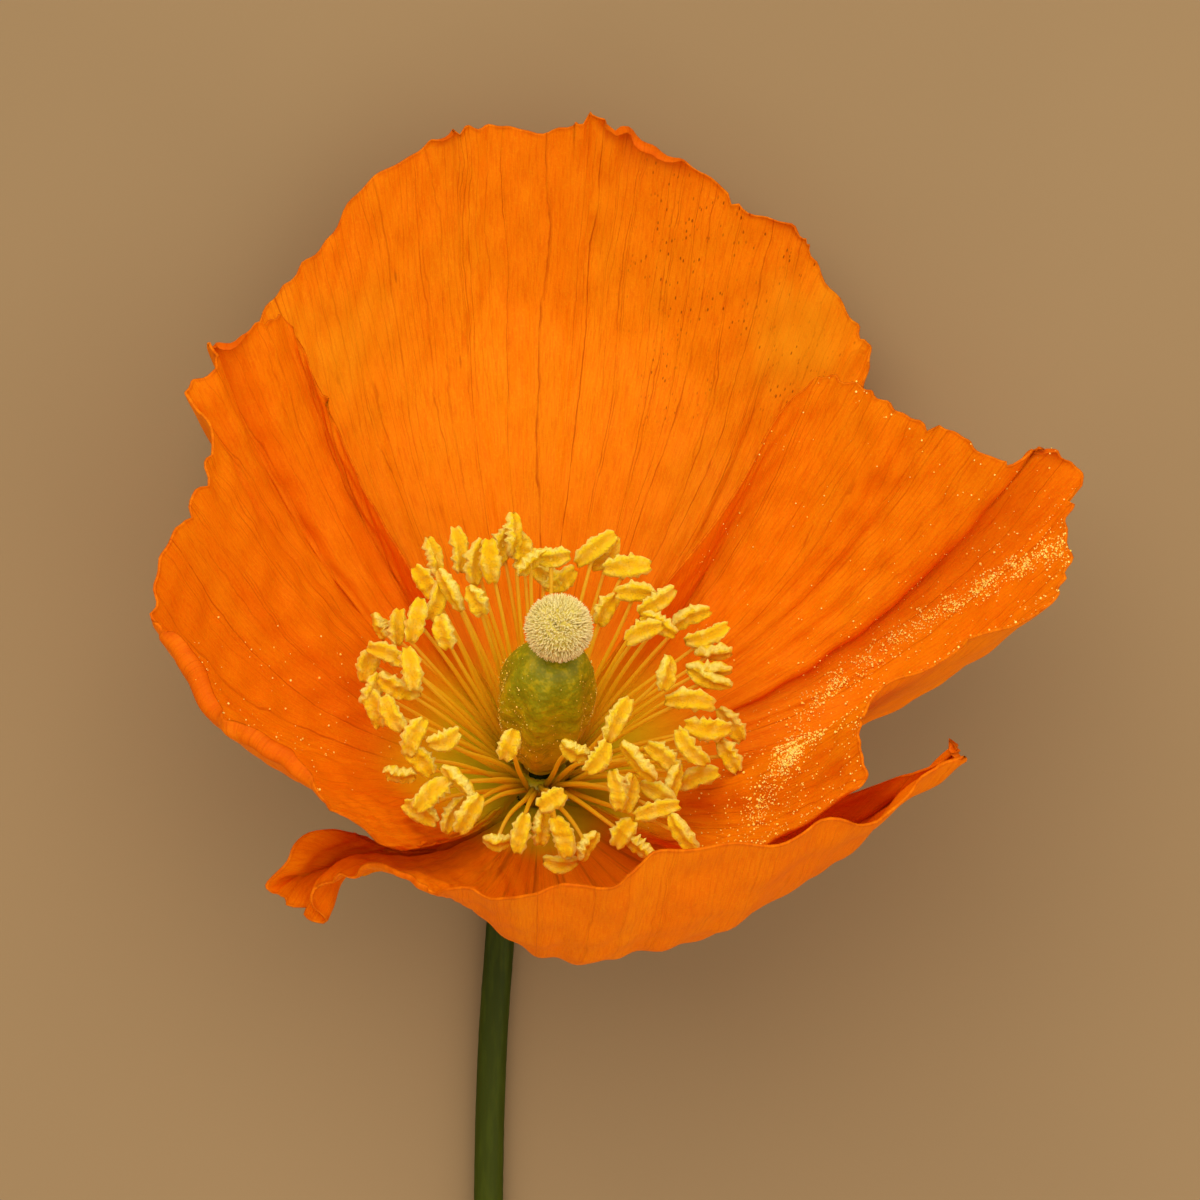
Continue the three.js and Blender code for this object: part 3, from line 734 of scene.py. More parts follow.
def petal_sheet(spec, columns, rows):
    """The outer face of a petal in mm, with what its finish needs to know at each point."""
    outline = np.array([row[:4] for row in spec["outline"]])
    hooks = [row[4] if len(row) > 4 else 0.0 for row in spec["outline"]]
    rng = np.random.default_rng(spec["seed"])
    u = np.linspace(0, 1, columns)
    v = 1 - (1 - np.linspace(0, 1, rows)) ** ROW_CROWDING
    ends = curve(outline[:, :3], u)
    bellies = track(outline[:, 3], u)
    half_angle = spec.get("claw_half_angle", CLAW_HALF_ANGLE)
    starts = polar(spec["azimuth"] + (2 * u - 1) * half_angle, np.full(columns, CLAW_RADIUS),
                   np.full(columns, spec["claw_level"]))
    chord = ends - starts
    length = np.linalg.norm(chord, axis=1)
    along = chord / length[:, None]
    outward = unit(along * (along @ FACING)[:, None] - FACING)

    # Ribs run from the claw to the ragged rim, belly out and may hook back.
    off_side = np.minimum(step(u, *SIDE_FADE), 1 - step(u, 1 - SIDE_FADE[1], 1 - SIDE_FADE[0]))
    ragged = ragged_rim(rng, u, spec["jags"]) * off_side
    reach = v[None] + (ragged / length)[:, None] * v[None] ** RAGGED_POWER
    belly = bellies[:, None] * np.sin(np.pi * v)[None]
    points = (starts[:, None] + chord[:, None] * reach[..., None]
              + outward[:, None] * belly[..., None])
    points[..., 1] += track(hooks, u)[:, None] * np.sin(np.pi * v ** HOOK_PLACE)[None]
    points[..., 2] = lifted(points[..., 2], REST_SOFTNESS)
    normals = surface_normals(points)

    # Soft folds along the ribs, fine crinkles, and a rim that waves in and out.
    grid_u, grid_v = np.meshgrid(u, v, indexing="ij")
    side = off_side[:, None]
    inside = step(grid_v, *FOLDS_START)
    near_rim = step(grid_v, *RUFFLE_START)
    folds = ripple(rng, grid_u, grid_v, *FOLD_WAVES) * FOLD_SIZE * inside
    crinkle = ripple(rng, grid_u, grid_v, *CRINKLE_WAVES) * CRINKLE_SIZE * inside
    waves = ripple(rng, grid_u, grid_v, *RUFFLE_WAVES) * spec["ruffle"] * near_rim * RUFFLE_SHARE
    lift = LIFT + (folds + crinkle + waves) * (LIFT + (1 - LIFT) * side)
    points = points + normals * np.clip(lift, *LIFT_LIMITS)[..., None]

    # Rolled rims. A roll takes the last part of a rib round a small circle.
    tangent = unit(np.gradient(points, axis=1))
    from_rim = (1 - v)[None] * length[:, None]
    rolled = np.zeros(grid_u.shape)
    for middle, half, radius, turn in spec["rolls"]:
        share = bump(u, middle, half)[:, None]
        below = step(from_rim / radius, *ROLLED_REACH)
        rolled = np.maximum(rolled, share * step(turn * share, *ROLLED_TURN) * (1 - below))
        angle = np.radians(turn) * share * np.clip(1 - from_rim / radius, 0, 1)
        ahead = np.clip(radius - from_rim, 0, None) * share
        shift = tangent * (radius * np.sin(angle) - ahead)[..., None]
        shift += normals * (radius * (1 - np.cos(angle)))[..., None]
        points = points + shift

    points[..., 2] = np.maximum(points[..., 2], -BASE_HEIGHT)
    widths = np.linalg.norm(np.gradient(points, axis=0), axis=-1)
    at_middle = np.maximum(widths[:, int(MIDDLE_ROW * rows)], 1e-4)
    around = np.cumsum(at_middle)
    facts = {
        "around": np.broadcast_to(around[:, None], grid_u.shape),   # mm, at the middle row
        "rise": grid_v,                                             # 0 at the claw, 1 at the rim
        "fan": np.clip(widths / at_middle[:, None], *FAN_LIMITS),   # width against the middle row
        "from_rim": from_rim,                                       # mm
        "up_rib": reach * length[:, None],                          # mm
        "rolled": rolled,                                           # 1 on a rolled rim
    }
    return points, normals, facts


def lifted(heights, soft):
    """Heights kept on or above the surface, with no crease where they meet it."""
    above = heights + BASE_HEIGHT
    return (above + np.sqrt(above * above + soft * soft)) / 2 - BASE_HEIGHT


def stretch(points, low_x, high_x, low_y, high_y, soft):
    """1 inside a box in X and Y, fading out over soft mm."""
    x = points[..., 0]
    y = points[..., 1]
    return (step(x, low_x - soft, low_x + soft) * (1 - step(x, high_x - soft, high_x + soft))
            * step(y, low_y - soft, low_y + soft) * (1 - step(y, high_y - soft, high_y + soft)))


def line_distance(points, line):
    """How far points are, in X and Y, from a line through given places."""
    nearest = np.full(points.shape[:-1], 1e6)
    for (ax, ay), (bx, by) in zip(line, line[1:]):
        run = np.array([bx - ax, by - ay])
        off = points[..., :2] - np.array([ax, ay])
        t = np.clip((off @ run) / (run @ run), 0, 1)
        nearest = np.minimum(nearest, np.linalg.norm(off - t[..., None] * run, axis=-1))
    return nearest


def make_petal(name, spec, settings, finish):
    columns = settings.columns
    rows = settings.rows
    thickness = settings.thickness / MM
    points, normals, facts = petal_sheet(spec, columns, rows)
    inner = points + normals * thickness
    both = np.vstack([points.reshape(-1, 3), inner.reshape(-1, 3)])
    piece = make_mesh(name + "_fine", both, sheet_faces(columns, rows), finish)
    for fact, values in facts.items():
        add_value(piece, fact, np.concatenate([values.ravel(), values.ravel()]))
    masks = petal_masks(name, spec, points)
    for mask, values in masks.items():
        outer_share = 0.0 if mask == "pleat_shade_mask" else 1.0
        inner_share = INNER_REDNESS if mask == "redness" and name == "petal_front" else 1.0
        flat = values.ravel()
        add_value(piece, mask, np.concatenate([flat * outer_share, flat * inner_share]))
    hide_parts(name)
    return inner, normals, masks


def petal_masks(name, spec, points):
    """Where marks lie on a petal, each 0 to 1."""
    none = np.zeros(points.shape[:2])
    from_foot = np.linalg.norm(points, axis=-1)
    masks = {mask: none for mask in ("specks", "lines", "yellowing", "dust", "redness", "pleat_shade_mask")}
    masks["veined"] = none + spec["veined"]
    masks["claw"] = 1 - step(from_foot, *spec["claw"])
    masks["foot"] = 1 - step(from_foot, *spec["foot"])
    x = points[..., 0]
    y = points[..., 1]
    if name == "petal_back":
        masks["specks"] = stretch(points, *SPECK_BOX)
        masks["lines"] = stretch(points, *LINE_BOX)
        pale = 0.5 * stretch(points, *PALE_YELLOW_BOX)
        masks["yellowing"] = np.maximum(stretch(points, *YELLOW_BOX), pale)
        masks["redness"] = 0.25 * step(y, 20, 36)
    if name == "petal_left":
        masks["redness"] = 0.75 - 0.5 * step(y, 16, 22)
        masks["dust"] = 0.012 * stretch(points, *LEFT_DUST_BOX)
    if name == "petal_front":
        # The front petal's darker red is partly painted shade of its outer side, which faces down
        # away from the light.
        masks["redness"] = none + 0.8
        # Painted shade: darker brown streaks on the lower inner face of the front petal, which
        # lies in shade there.
        masks["pleat_shade_mask"] = step(x, -4.5, -2.5) * (1 - step(x, 7, 10))
    if name == "petal_right":
        masks["redness"] = 0.15 + 0.2 * step(x, 20, 30)
        off_band = line_distance(points, DUST_BAND)
        rng = np.random.default_rng(CLUMP_SEED)
        clumps = ripple(rng, x / CLUMP_SCALE, y / CLUMP_SCALE, *CLUMP_WAVES)
        masks["dust"] = bump(off_band, 0, 0.5) * (0.3 + 0.7 * step(clumps, -0.6, 0.9))
        masks["dust"] = masks["dust"] + 0.035 * bump(off_band, 0, 2.6) + 0.004 * step(x, 6, 12)
    return masks


PETAL_TINTS = {
    "cloud": rgb(255, 150, 4),
    "streak": rgb(240, 112, 0),
    "band": rgb(255, 156, 10),
    "olive": rgb(242, 146, 6),
    "thread": rgb(228, 96, 0),
    "grain": rgb(255, 166, 14),
    "vein": rgb(172, 60, 0),
    # painted shade for the pleated lower inner face of the front petal
    "painted_pleat_shade": rgb(150, 74, 4),
    "yellowed": rgb(250, 176, 24),
    "claw": rgb(244, 228, 20),
    "foot": rgb(200, 216, 30),
    "fleck": rgb(110, 36, 6),
    "long_fleck": rgb(96, 40, 8),
    "margin": rgb(184, 64, 4),
    "rolled": rgb(214, 82, 0),
}
PETAL_GLOW = (1.0, 0.33, 0.02, 1)       # colour of the light that comes through

# Veins in three orders: spacing against the settings' own, half width in mm,
# how far up the petal they start, and strength.
VEIN_ORDERS = [
    (1.9, 0.055, 0.10, 1.0),
    (1.0, 0.045, 0.25, 0.8),
    (0.4, 0.04, 0.45, 0.6),
]
VEIN_FADE = 0.25                # share of the petal over which a vein fades in
VEIN_SWAY = 2.4                 # mm
VEIN_JITTER = 0.35              # mm


def petal_veins(finish, settings, around, up_rib, rise, fan):
    """1 on a vein. The finer orders start further up the petal."""
    sway = finish.noise(finish.vector(around * 0.4, up_rib * 0.07), detail=1.0)
    jitter = finish.noise(finish.vector(around * 1.5, up_rib * 0.5), detail=2.0)
    veins = None
    for share, width, start, strength in VEIN_ORDERS:
        spacing = share * (settings.vein_spacing / MM)
        lane = (around * (1 / spacing) + (sway - 0.5) * (VEIN_SWAY / spacing)
                + (jitter - 0.5) * (VEIN_JITTER / spacing))
        off = ((lane.fract() - 0.5).size() * fan) * spacing
        draw = finish.chance(finish.vector(lane.floor(), spacing))
        line = 1 - off.step(0.25 * width, width)
        one = line * rise.step(start, start + VEIN_FADE) * draw * strength
        veins = one if veins is None else veins.math("MAXIMUM", one)
    return veins


def petal_finish(settings):
    finish = Finish("Petal")
    around = finish.value_of("around")
    rise = finish.value_of("rise")
    fan = finish.value_of("fan")
    from_rim = finish.value_of("from_rim")
    up_rib = finish.value_of("up_rib")
    redness = finish.value_of("redness")
    claw = finish.value_of("claw")
    foot = finish.value_of("foot")
    specks = finish.value_of("specks")
    lines = finish.value_of("lines")
    yellowing = finish.value_of("yellowing")
    pleat_shade_mask = finish.value_of("pleat_shade_mask")
    rolled = finish.value_of("rolled")
    veined = finish.value_of("veined")

    streaks = finish.noise(finish.vector(around * 2.4, up_rib * 0.16), detail=4.0, rough=0.6)
    threads = finish.noise(finish.vector(around * 9.0, up_rib * 0.7), detail=4.0, rough=0.7)
    bands = finish.noise(finish.vector(around * 0.30, up_rib * 0.05), detail=1.0)
    clouds = finish.noise(finish.place(), scale=0.16, detail=2.0)
    grain = finish.noise(finish.place(), scale=7.0, detail=3.0)
    olive = finish.noise(finish.vector(around * 0.22, up_rib * 0.12, 4.0), detail=3.0)
    broken = finish.noise(finish.vector(around * 0.8, up_rib * 0.35), detail=2.0)
    painted_pleat_shade = finish.noise(finish.vector(around * 0.9, up_rib * 0.12), detail=5.0, rough=0.65)
    frayed = finish.noise(finish.vector(around * 1.4, 0.0), detail=2.0)
    patchy = finish.noise(finish.place(), scale=0.45, detail=2.0)
    veins = petal_veins(finish, settings, around, up_rib, rise, fan)

    # Short dry flecks and long dry lines, which follow the ribs.
    fleck_place = finish.vector(around * 4.6, up_rib * 2.0)
    fleck = finish.cells(fleck_place)
    picked = finish.chance(finish.cells(fleck_place, output="Position"))
    in_patches = patchy.step(0.42, 0.6) * 0.8 + 0.2
    flecks = (1 - fleck.step(0.10, 0.30)) * specks * picked.step(0.36, 0.50) * in_patches
    long_place = finish.vector(around * 0.9, up_rib * 0.16)
    long_fleck = finish.cells(long_place)
    long_picked = finish.chance(finish.cells(long_place, output="Position")) > 0.72
    long_flecks = (1 - long_fleck.step(0.04, 0.10)) * long_picked * lines

    shares = {
        "cloud": (clouds - 0.35) * 0.6,
        "streak": streaks.step(0.35, 0.75) * 0.30,
        "band": bands.step(0.5, 0.75) * 0.35,
        "olive": olive.step(0.48, 0.64) * 0.4 * (1 - redness),
        "thread": threads.step(0.45, 0.62) * 0.45,
        "grain": grain.step(0.5, 0.7) * 0.35,
        "vein": veins * veined * (broken.step(0.38, 0.56) * 0.65 + 0.35) * 0.75,
        # painted shade in the pleats of the front petal's lower inner face
        "painted_pleat_shade": pleat_shade_mask * painted_pleat_shade.step(0.46, 0.68) * rise.step(0.06, 0.16) * 0.65,
        "yellowed": yellowing * clouds.step(0.3, 0.6) * 0.5,
        "claw": claw * (0.6 + 0.4 * streaks),
        "foot": foot * 0.85,
        "fleck": flecks * 0.85,
        "long_fleck": long_flecks * 0.8,
        "margin": (1 - from_rim.step(0.03, 0.28)) * (frayed.step(0.35, 0.6) * 0.35 + 0.1),
        "rolled": rolled * 0.6,
    }
    # Redness: a redder tone of the petals, and on the front petal partly painted shade.
    base = finish.mix(redness, opaque(settings.orange), opaque(settings.red))
    height = veins * -0.3 + streaks * 0.4 + threads * 0.5 + grain * 0.25
    values = {
        "Base Color": finish.layered(base, [(shares[tint], PETAL_TINTS[tint]) for tint in shares]),
        "Roughness": 0.52 + (grain - 0.5) * 0.15,
        "Specular IOR Level": 0.05,
        "Normal": finish.bump(height, settings.vein_depth / MM, 0.8),
    }
    return finish.coat(values, settings.light_through, PETAL_GLOW)


# ---------- Stamens ----------

ANTHER_RINGS = 26
ANTHER_SIDES = 24
ANTHER_END = 0.3                # mm of its length that its rounded ends take
WIDTH_SPREAD = (0.85, 1.12)
TWIST = 0.9                     # radians, at most, from end to end
FRILL_WAVES = 5
FRILL_SIZE = 0.06
CRUMPLE_WAVES = 4
CRUMPLE_SIZE = 0.10
FILAMENT_RINGS = 15
FILAMENT_SIDES = 8
FILAMENT_FOOT = 0.17            # radius in mm
FILAMENT_TIP = 0.10
FILAMENT_KNOB = 0.07            # more radius, just under the anther
FILAMENT_BOW = 0.5
RING_SIDES = 72
RING_RIPPLES = 24
ANTHER_GLOW = (1.0, 0.86, 0.2, 1)
FILAMENT_GLOW = (1.0, 0.8, 0.12, 1)


def turned(vector, axis, angle):
    """A vector turned about an axis at right angles to it."""
    return vector * math.cos(angle) + np.cross(axis, vector) * math.sin(angle)


def stamen_places():
    """Root, tip, filament direction, anther direction, anther face and length of each stamen."""
    places = []
    for i, (x, y, turn, length, roll, lift) in enumerate(STAMENS):
        height = math.sqrt(max(STAMEN_REACH ** 2 - x * x - y * y, LOWEST_REACH ** 2))
        tip = np.array([x, y, height + lift])
        around = math.degrees(math.atan2(tip @ AWAY, tip @ ACROSS))
        root_radius = RING_INNER + (RING_OUTER - RING_INNER) * ROOT_ROWS[i % len(ROOT_ROWS)]
        root = polar(around, root_radius, RING_LEVEL + FILAMENT_SINK)
        angle = math.radians(turn)
        lie = np.array([math.cos(angle), math.sin(angle), 0.0])
        flat = turned(np.array([0.0, 0.0, 1.0]), lie, math.radians(roll))
        places.append((root, tip, unit(tip - root), lie, flat, length))
    return places


def anther_points(centre, lie, flat, rng, size):
    """A two-lobed anther with frilled sides: rings of points across its length."""
    side = unit(np.cross(lie, flat))
    face = np.cross(lie, side)
    length, width, depth = size
    width *= rng.uniform(*WIDTH_SPREAD)
    t = np.linspace(0.02, 0.98, ANTHER_RINGS)[:, None]
    angle = (2 * np.pi * np.arange(ANTHER_SIDES) / ANTHER_SIDES)[None]
    cosine = np.cos(angle)
    sine = np.sin(angle)
    across = np.sign(cosine) * np.abs(cosine) ** 0.7
    groove = np.exp(-((cosine / 0.32) ** 2))
    edge = np.abs(cosine) ** 4
    waist = 1 - 0.18 * rng.random() * bump(t, 0.5, 0.12)
    ends = (np.sin(np.pi * t) ** 0.36) * waist
    frill = 0
    for _ in range(FRILL_WAVES):
        waves = rng.uniform(2, 7) * t
        lobe_shift = 0.5 * np.sign(cosine) * rng.random()
        frill = frill + np.sin(2 * np.pi * (waves + lobe_shift + rng.random()))
    wide = width / 2 * ends * across * (1 + FRILL_SIZE * frill * edge)
    deep = depth / 2 * ends * sine * (1 - 0.72 * groove)
    deep = deep + FRILL_SIZE * frill * edge - 0.10 * edge * depth * rng.uniform(-1, 1)
    twist = rng.uniform(-TWIST, TWIST) * (t - 0.5)
    flat_wide = wide
    wide = flat_wide * np.cos(twist) - deep * np.sin(twist)
    deep = flat_wide * np.sin(twist) + deep * np.cos(twist)
    past_end = np.sign(t - 0.5) * np.abs(2 * t - 1) ** 3 * (0.10 + 0.16 * np.abs(across))
    long_way = (t - 0.5) * (length - ANTHER_END) + past_end
    curl = 4 * (t - 0.5) ** 2
    crumple = 0
    for _ in range(CRUMPLE_WAVES):
        along = 2 * np.pi * (rng.uniform(1, 4) * t + rng.random())
        crumple = crumple + np.sin(along + rng.integers(1, 5) * angle)
    wide = wide * (1 + 0.04 * rng.standard_normal(wide.shape)) + rng.uniform(-0.30, 0.30) * curl
    deep = deep * (1 + CRUMPLE_SIZE * crumple) + rng.uniform(-0.10, 0.30) * curl
    points = centre + long_way[..., None] * lie + wide[..., None] * side + deep[..., None] * face
    return points, np.broadcast_to(groove, wide.shape), np.broadcast_to(edge, wide.shape)


def make_stamens(settings, anther_finish, filament_finish):
    rng = np.random.default_rng(settings.seed)
    anthers, filaments = [], []
    anther_faces, filament_faces = [], []
    tints, grooves, edges, rises = [], [], [], []
    width = settings.anther_width / MM
    depth = settings.anther_depth / MM
    a_anther = ANTHER_RINGS * ANTHER_SIDES
    a_filament = FILAMENT_RINGS * FILAMENT_SIDES
    for n, (root, tip, along, lie, flat, length) in enumerate(stamen_places()):
        points, groove, edge = anther_points(tip, lie, flat, rng, (length, width, depth))
        anthers.append(points.reshape(-1, 3))
        anther_faces += tube_faces(ANTHER_RINGS, ANTHER_SIDES, n * a_anther, flip=True)
        tints.append(np.full(a_anther, rng.random()))
        grooves.append(groove.ravel())
        edges.append(edge.ravel())
        t = np.linspace(0, 1, FILAMENT_RINGS)[:, None]
        bow = FACING * FILAMENT_BOW + rng.uniform(-0.2, 0.2, 3)
        wobble = rng.uniform(-0.12, 0.12, 3) * np.sin(2 * np.pi * t)
        end = tip + along * 0.05
        centres = root + (end - root) * t + bow * np.sin(np.pi * t) + wobble
        radii = FILAMENT_FOOT + (FILAMENT_TIP - FILAMENT_FOOT) * t
        radii = radii + FILAMENT_KNOB * bump(t, 0.97, 0.04)
        stalk = tube_points(centres, radii, FILAMENT_SIDES, ACROSS + AWAY * 0.3)
        filaments.append(stalk.reshape(-1, 3))
        filament_faces += tube_faces(FILAMENT_RINGS, FILAMENT_SIDES, n * a_filament)
        rises.append(np.repeat(t[:, 0], FILAMENT_SIDES))
    piece = make_mesh("anthers", np.vstack(anthers), anther_faces, anther_finish)
    add_value(piece, "tint", np.concatenate(tints))
    add_value(piece, "groove", np.concatenate(grooves))
    add_value(piece, "edge", np.concatenate(edges))
    stalks = make_mesh("filaments", np.vstack(filaments), filament_faces, filament_finish)
    add_value(stalks, "rise", np.concatenate(rises))
    basal = basal_ring(filament_finish)
    for made in (piece, stalks, basal):
        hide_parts("stamens")


def basal_ring(finish):
    """The low ring at the foot that the stamens grow from, and the hub below it."""
    sides = RING_SIDES
    angle = 360 * np.arange(sides) / sides
    profile = [
        (HUB_INNER, HUB_LEVEL),
        (HUB_OUTER, HUB_LEVEL),
        (HUB_OUTER, RING_LEVEL),
        (RING_OUTER * 0.9, RING_LEVEL),
        (RING_OUTER, RING_LEVEL + RING_HEIGHT * 0.3),
        (RING_OUTER * 0.95, RING_LEVEL + RING_HEIGHT * 0.7),
        (RING_INNER + 0.3, RING_LEVEL + RING_HEIGHT),
        (HUB_INNER, RING_LEVEL + RING_HEIGHT * 0.9),
    ]
    rings = []
    for radius, level in profile:
        wavy = radius * (1 + 0.03 * np.cos(np.radians(angle) * RING_RIPPLES))
        rings.append(polar(angle, wavy, np.full(sides, level)))
    points = np.stack(rings, axis=1).reshape(-1, 3)
    rows = len(profile)
    faces = []
    for c in range(sides):
        d = (c + 1) % sides
        for r in range(rows):
            s = (r + 1) % rows
            faces.append((c * rows + r, d * rows + r, d * rows + s, c * rows + s))
    piece = make_mesh("stamen_ring", points, faces, finish)
    add_value(piece, "rise", np.zeros(len(points)))
    return piece


def anther_finish(settings):
    finish = Finish("Anther")
    tint = finish.value_of("tint")
    groove = finish.value_of("groove")
    edge = finish.value_of("edge")
    place = finish.place()
    grains = finish.cells(place, scale=11.0)
    patch = finish.noise(place, scale=1.8, detail=2.0)
    colour = finish.layered(opaque(settings.pollen_yellow), [
        (tint * 0.7, rgb(255, 226, 44)),
        # painted highlights: pale patches laid at random over the anthers
        (patch.step(0.45, 0.7) * 0.6, rgb(255, 240, 120)),
        # painted shade: darker in the groove between the two lobes
        (groove * 0.7, rgb(248, 178, 8)),
        # painted highlight: paler along the outer edges of the lobes
        (edge.step(0.3, 0.9) * 0.6, rgb(255, 244, 140)),
        ((1 - grains.step(0.15, 0.4)) * 0.35, rgb(255, 236, 90)),
    ])
    height = (1 - grains.step(0.1, 0.5)) + finish.noise(place, scale=14.0) * 0.4
    height = height + finish.noise(place, scale=3.0, detail=2.0) * 2.0
    values = {
        "Base Color": colour,
        "Roughness": 0.8,
        "Specular IOR Level": 0.1,
        "Normal": finish.bump(height, 0.05, 0.8),
    }
    return finish.coat(values, 0.28, ANTHER_GLOW)


def filament_finish():
    finish = Finish("Filament")
    rise = finish.value_of("rise")
    fibres = finish.noise(finish.place(), scale=3.0, detail=3.0)
    colour = finish.layered(rgb(206, 192, 16), [
        (rise.step(0.0, 0.40), rgb(255, 222, 30)),
        (rise.step(0.5, 1.0), rgb(255, 222, 64)),
        (fibres.step(0.45, 0.7) * 0.25, rgb(246, 190, 20)),
    ])
    values = {
        "Base Color": colour,
        "Roughness": 0.45,
        "Normal": finish.bump(fibres, 0.04, 0.5),
    }
    return finish.coat(values, 0.42, FILAMENT_GLOW)


# ---------- Ovary, stigma and stem ----------

OVARY_SIDES = 126
OVARY_ROWS = 96
OVARY_SEED = 71
RIB_HEIGHT = 0.24               # mm
LUMP_HEIGHT = 0.02
STIGMA_SIDES = 64
STIGMA_ROWS = 40
STIGMA_SEED = 97
STIGMA_CORE_DEPTH = 0.24        # mm from the tips of the hairs to the ball under them
HAIR_ROOT_DEPTH = 0.40
HAIR_SIDES = 5
HAIR_LENGTH = (0.34, 0.56)
HAIR_RADIUS = (0.035, 0.06)
HAIR_PLACES = np.array([0.0, 0.55, 0.85, 1.0])      # rings along a hair
HAIR_TAPER = np.array([1.0, 0.95, 0.7, 0.15])
HAIR_TINTS = [0.2, 0.6, 0.9, 1.0]
STIGMA_GLOW = (1.0, 0.86, 0.4, 1)
STEM_SIDES = 24
STEM_SEED = 131
BEND_STEPS = 40
LYING_STEPS = 240
NECK_FLARE = 0.22
FLUTES = 9
FLUTE_DEPTH = 0.012
KNOT_HEIGHT = 0.006
PALE_SPECKS = 0.86              # only draws above it get a pale speck


def make_ovary(finish):
    sides = OVARY_SIDES
    rows = OVARY_ROWS
    t = np.linspace(0, 1, rows)
    angle = 360 * np.arange(sides) / sides
    swell = np.sin(np.pi * np.minimum(t, 0.9999) ** OVARY_SHOULDER) ** OVARY_FULLNESS
    radius = STYLE_RADIUS + (OVARY_RADIUS - STYLE_RADIUS) * swell
    foot = 1 - step(t, 0.0, 0.06)
    radius = radius * (1 - foot) + OVARY_FOOT * foot
    ribs = RIB_HEIGHT * np.cos(np.radians(OVARY_RIBS * angle))[None] * np.sin(np.pi * t)[:, None]
    rng = np.random.default_rng(OVARY_SEED)
    grid_t, grid_a = np.meshgrid(t, angle / 360, indexing="ij")
    lumps = LUMP_HEIGHT * ripple_round(rng, grid_a, grid_t, 10)
    rings = radius[:, None] + ribs + lumps * np.sin(np.pi * grid_t)
    level = OVARY_LEVEL + t * OVARY_LENGTH
    lean = STIGMA_OFFSET * t ** 6
    upright = polar(angle[None] + 0 * rings, rings, level[:, None] + 0 * rings)
    points = upright + (lean[:, None] * ACROSS)[:, None]
    faces = tube_faces(rows, sides, flip=True)
    piece = make_mesh("ovary_fine", points.reshape(-1, 3), faces, finish)
    add_value(piece, "rise", np.repeat(t, sides))
    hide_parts("ovary")
    outward = unit(points - level[:, None, None] * FACING)
    to_left = step(-outward[..., 0], 0.2, 0.9)
    to_right = step(outward[..., 0], 0.6, 1.0)
    dust = np.sin(np.pi * grid_t) * (0.25 + to_left + to_right)
    return points, outward, {"dust": dust}


def ovary_finish():
    finish = Finish("Ovary")
    rise = finish.value_of("rise")
    place = finish.place()
    soft = finish.noise(place, scale=0.5, detail=2.0)
    bands = finish.noise(finish.vector(soft * 0.6, rise * 16.0), detail=2.0)
    cells = finish.cells(place, scale=4.0)
    dent_relief = finish.noise(place, scale=1.3, detail=3.0, rough=0.6)
    colour = finish.layered(rgb(250, 206, 12), [
        (rise.step(0.05, 0.65), rgb(176, 168, 8)),
        (rise.step(0.55, 0.95) * 0.7, rgb(108, 118, 6)),
        # Painted highlight on the raised lumps and painted shade in the dents, from the same noise
        # that makes the bump.
        (dent_relief.step(0.5, 0.66) * 0.45, rgb(214, 190, 14)),
        (dent_relief.step(0.5, 0.36) * 0.4, rgb(104, 106, 4)),
        (bands.step(0.45, 0.7) * 0.22, rgb(118, 112, 6)),
        ((1 - cells.step(0.1, 0.45)) * 0.18, rgb(206, 186, 40)),
    ])
    values = {
        "Base Color": colour,
        "Roughness": 0.42 + soft * 0.15,
        "Specular IOR Level": 0.25,
        "Normal": finish.bump(cells * 0.4 + bands * 0.6 + dent_relief, 0.10, 0.8),
    }
    return finish.coat(values)


def make_stigma(settings, finish):
    """The pale head: a knobbly ball covered with short blunt hairs."""
    centre = polar(0, STIGMA_OFFSET, STIGMA_LEVEL)
    rng = np.random.default_rng(STIGMA_SEED)
    sides = STIGMA_SIDES
    rows = STIGMA_ROWS
    polar_angle = np.pi * np.linspace(0.02, 0.98, rows)
    angle = 2 * np.pi * np.arange(sides) / sides
    grid_p, grid_a = np.meshgrid(polar_angle, angle, indexing="ij")
    knobs = 0.035 * ripple_round(rng, grid_a / (2 * np.pi), grid_p / np.pi, 12)
    points = ball(centre, (STIGMA_RADIUS - STIGMA_CORE_DEPTH) * (1 + knobs), grid_p, grid_a)
    every = [points.reshape(-1, 3)]
    faces = tube_faces(rows, sides, flip=True)
    tips = [np.zeros(rows * sides)]
    golden = np.pi * (3 - np.sqrt(5))
    side_hint = FACING + np.array([0.3, 0.1, 0.0])
    count = settings.hairs
    at = rows * sides
    rings = len(HAIR_PLACES)
    for i in range(count):
        height = 1 - 2 * (i + 0.5) / count
        direction_p = np.arccos(height) + rng.normal(0, 0.02)
        direction_a = golden * i + rng.normal(0, 0.02)
        foot = ball(centre, STIGMA_RADIUS - HAIR_ROOT_DEPTH, direction_p, direction_a)
        out = unit(foot - centre + rng.normal(0, 0.35, 3))
        long = rng.uniform(*HAIR_LENGTH)
        thick = rng.uniform(*HAIR_RADIUS)
        centres = foot + out * (HAIR_PLACES * long)[:, None]
        hair = tube_points(centres, thick * HAIR_TAPER[:, None], HAIR_SIDES, side_hint)
        every.append(hair.reshape(-1, 3))
        faces += tube_faces(rings, HAIR_SIDES, at)
        tips.append(np.repeat(HAIR_TINTS, HAIR_SIDES))
        at += rings * HAIR_SIDES
    piece = make_mesh("stigma_fine", np.vstack(every), faces, finish)
    add_value(piece, "tip", np.concatenate(tips))
    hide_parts("stigma")


def ball(centre, radius, polar_angle, angle):
    radius = np.asarray(radius)
    flat = radius * np.sin(polar_angle)
    across = (flat * np.cos(angle))[..., None] * ACROSS
    away = (flat * np.sin(angle))[..., None] * AWAY
    return centre + across + away - (radius * np.cos(polar_angle))[..., None] * FACING


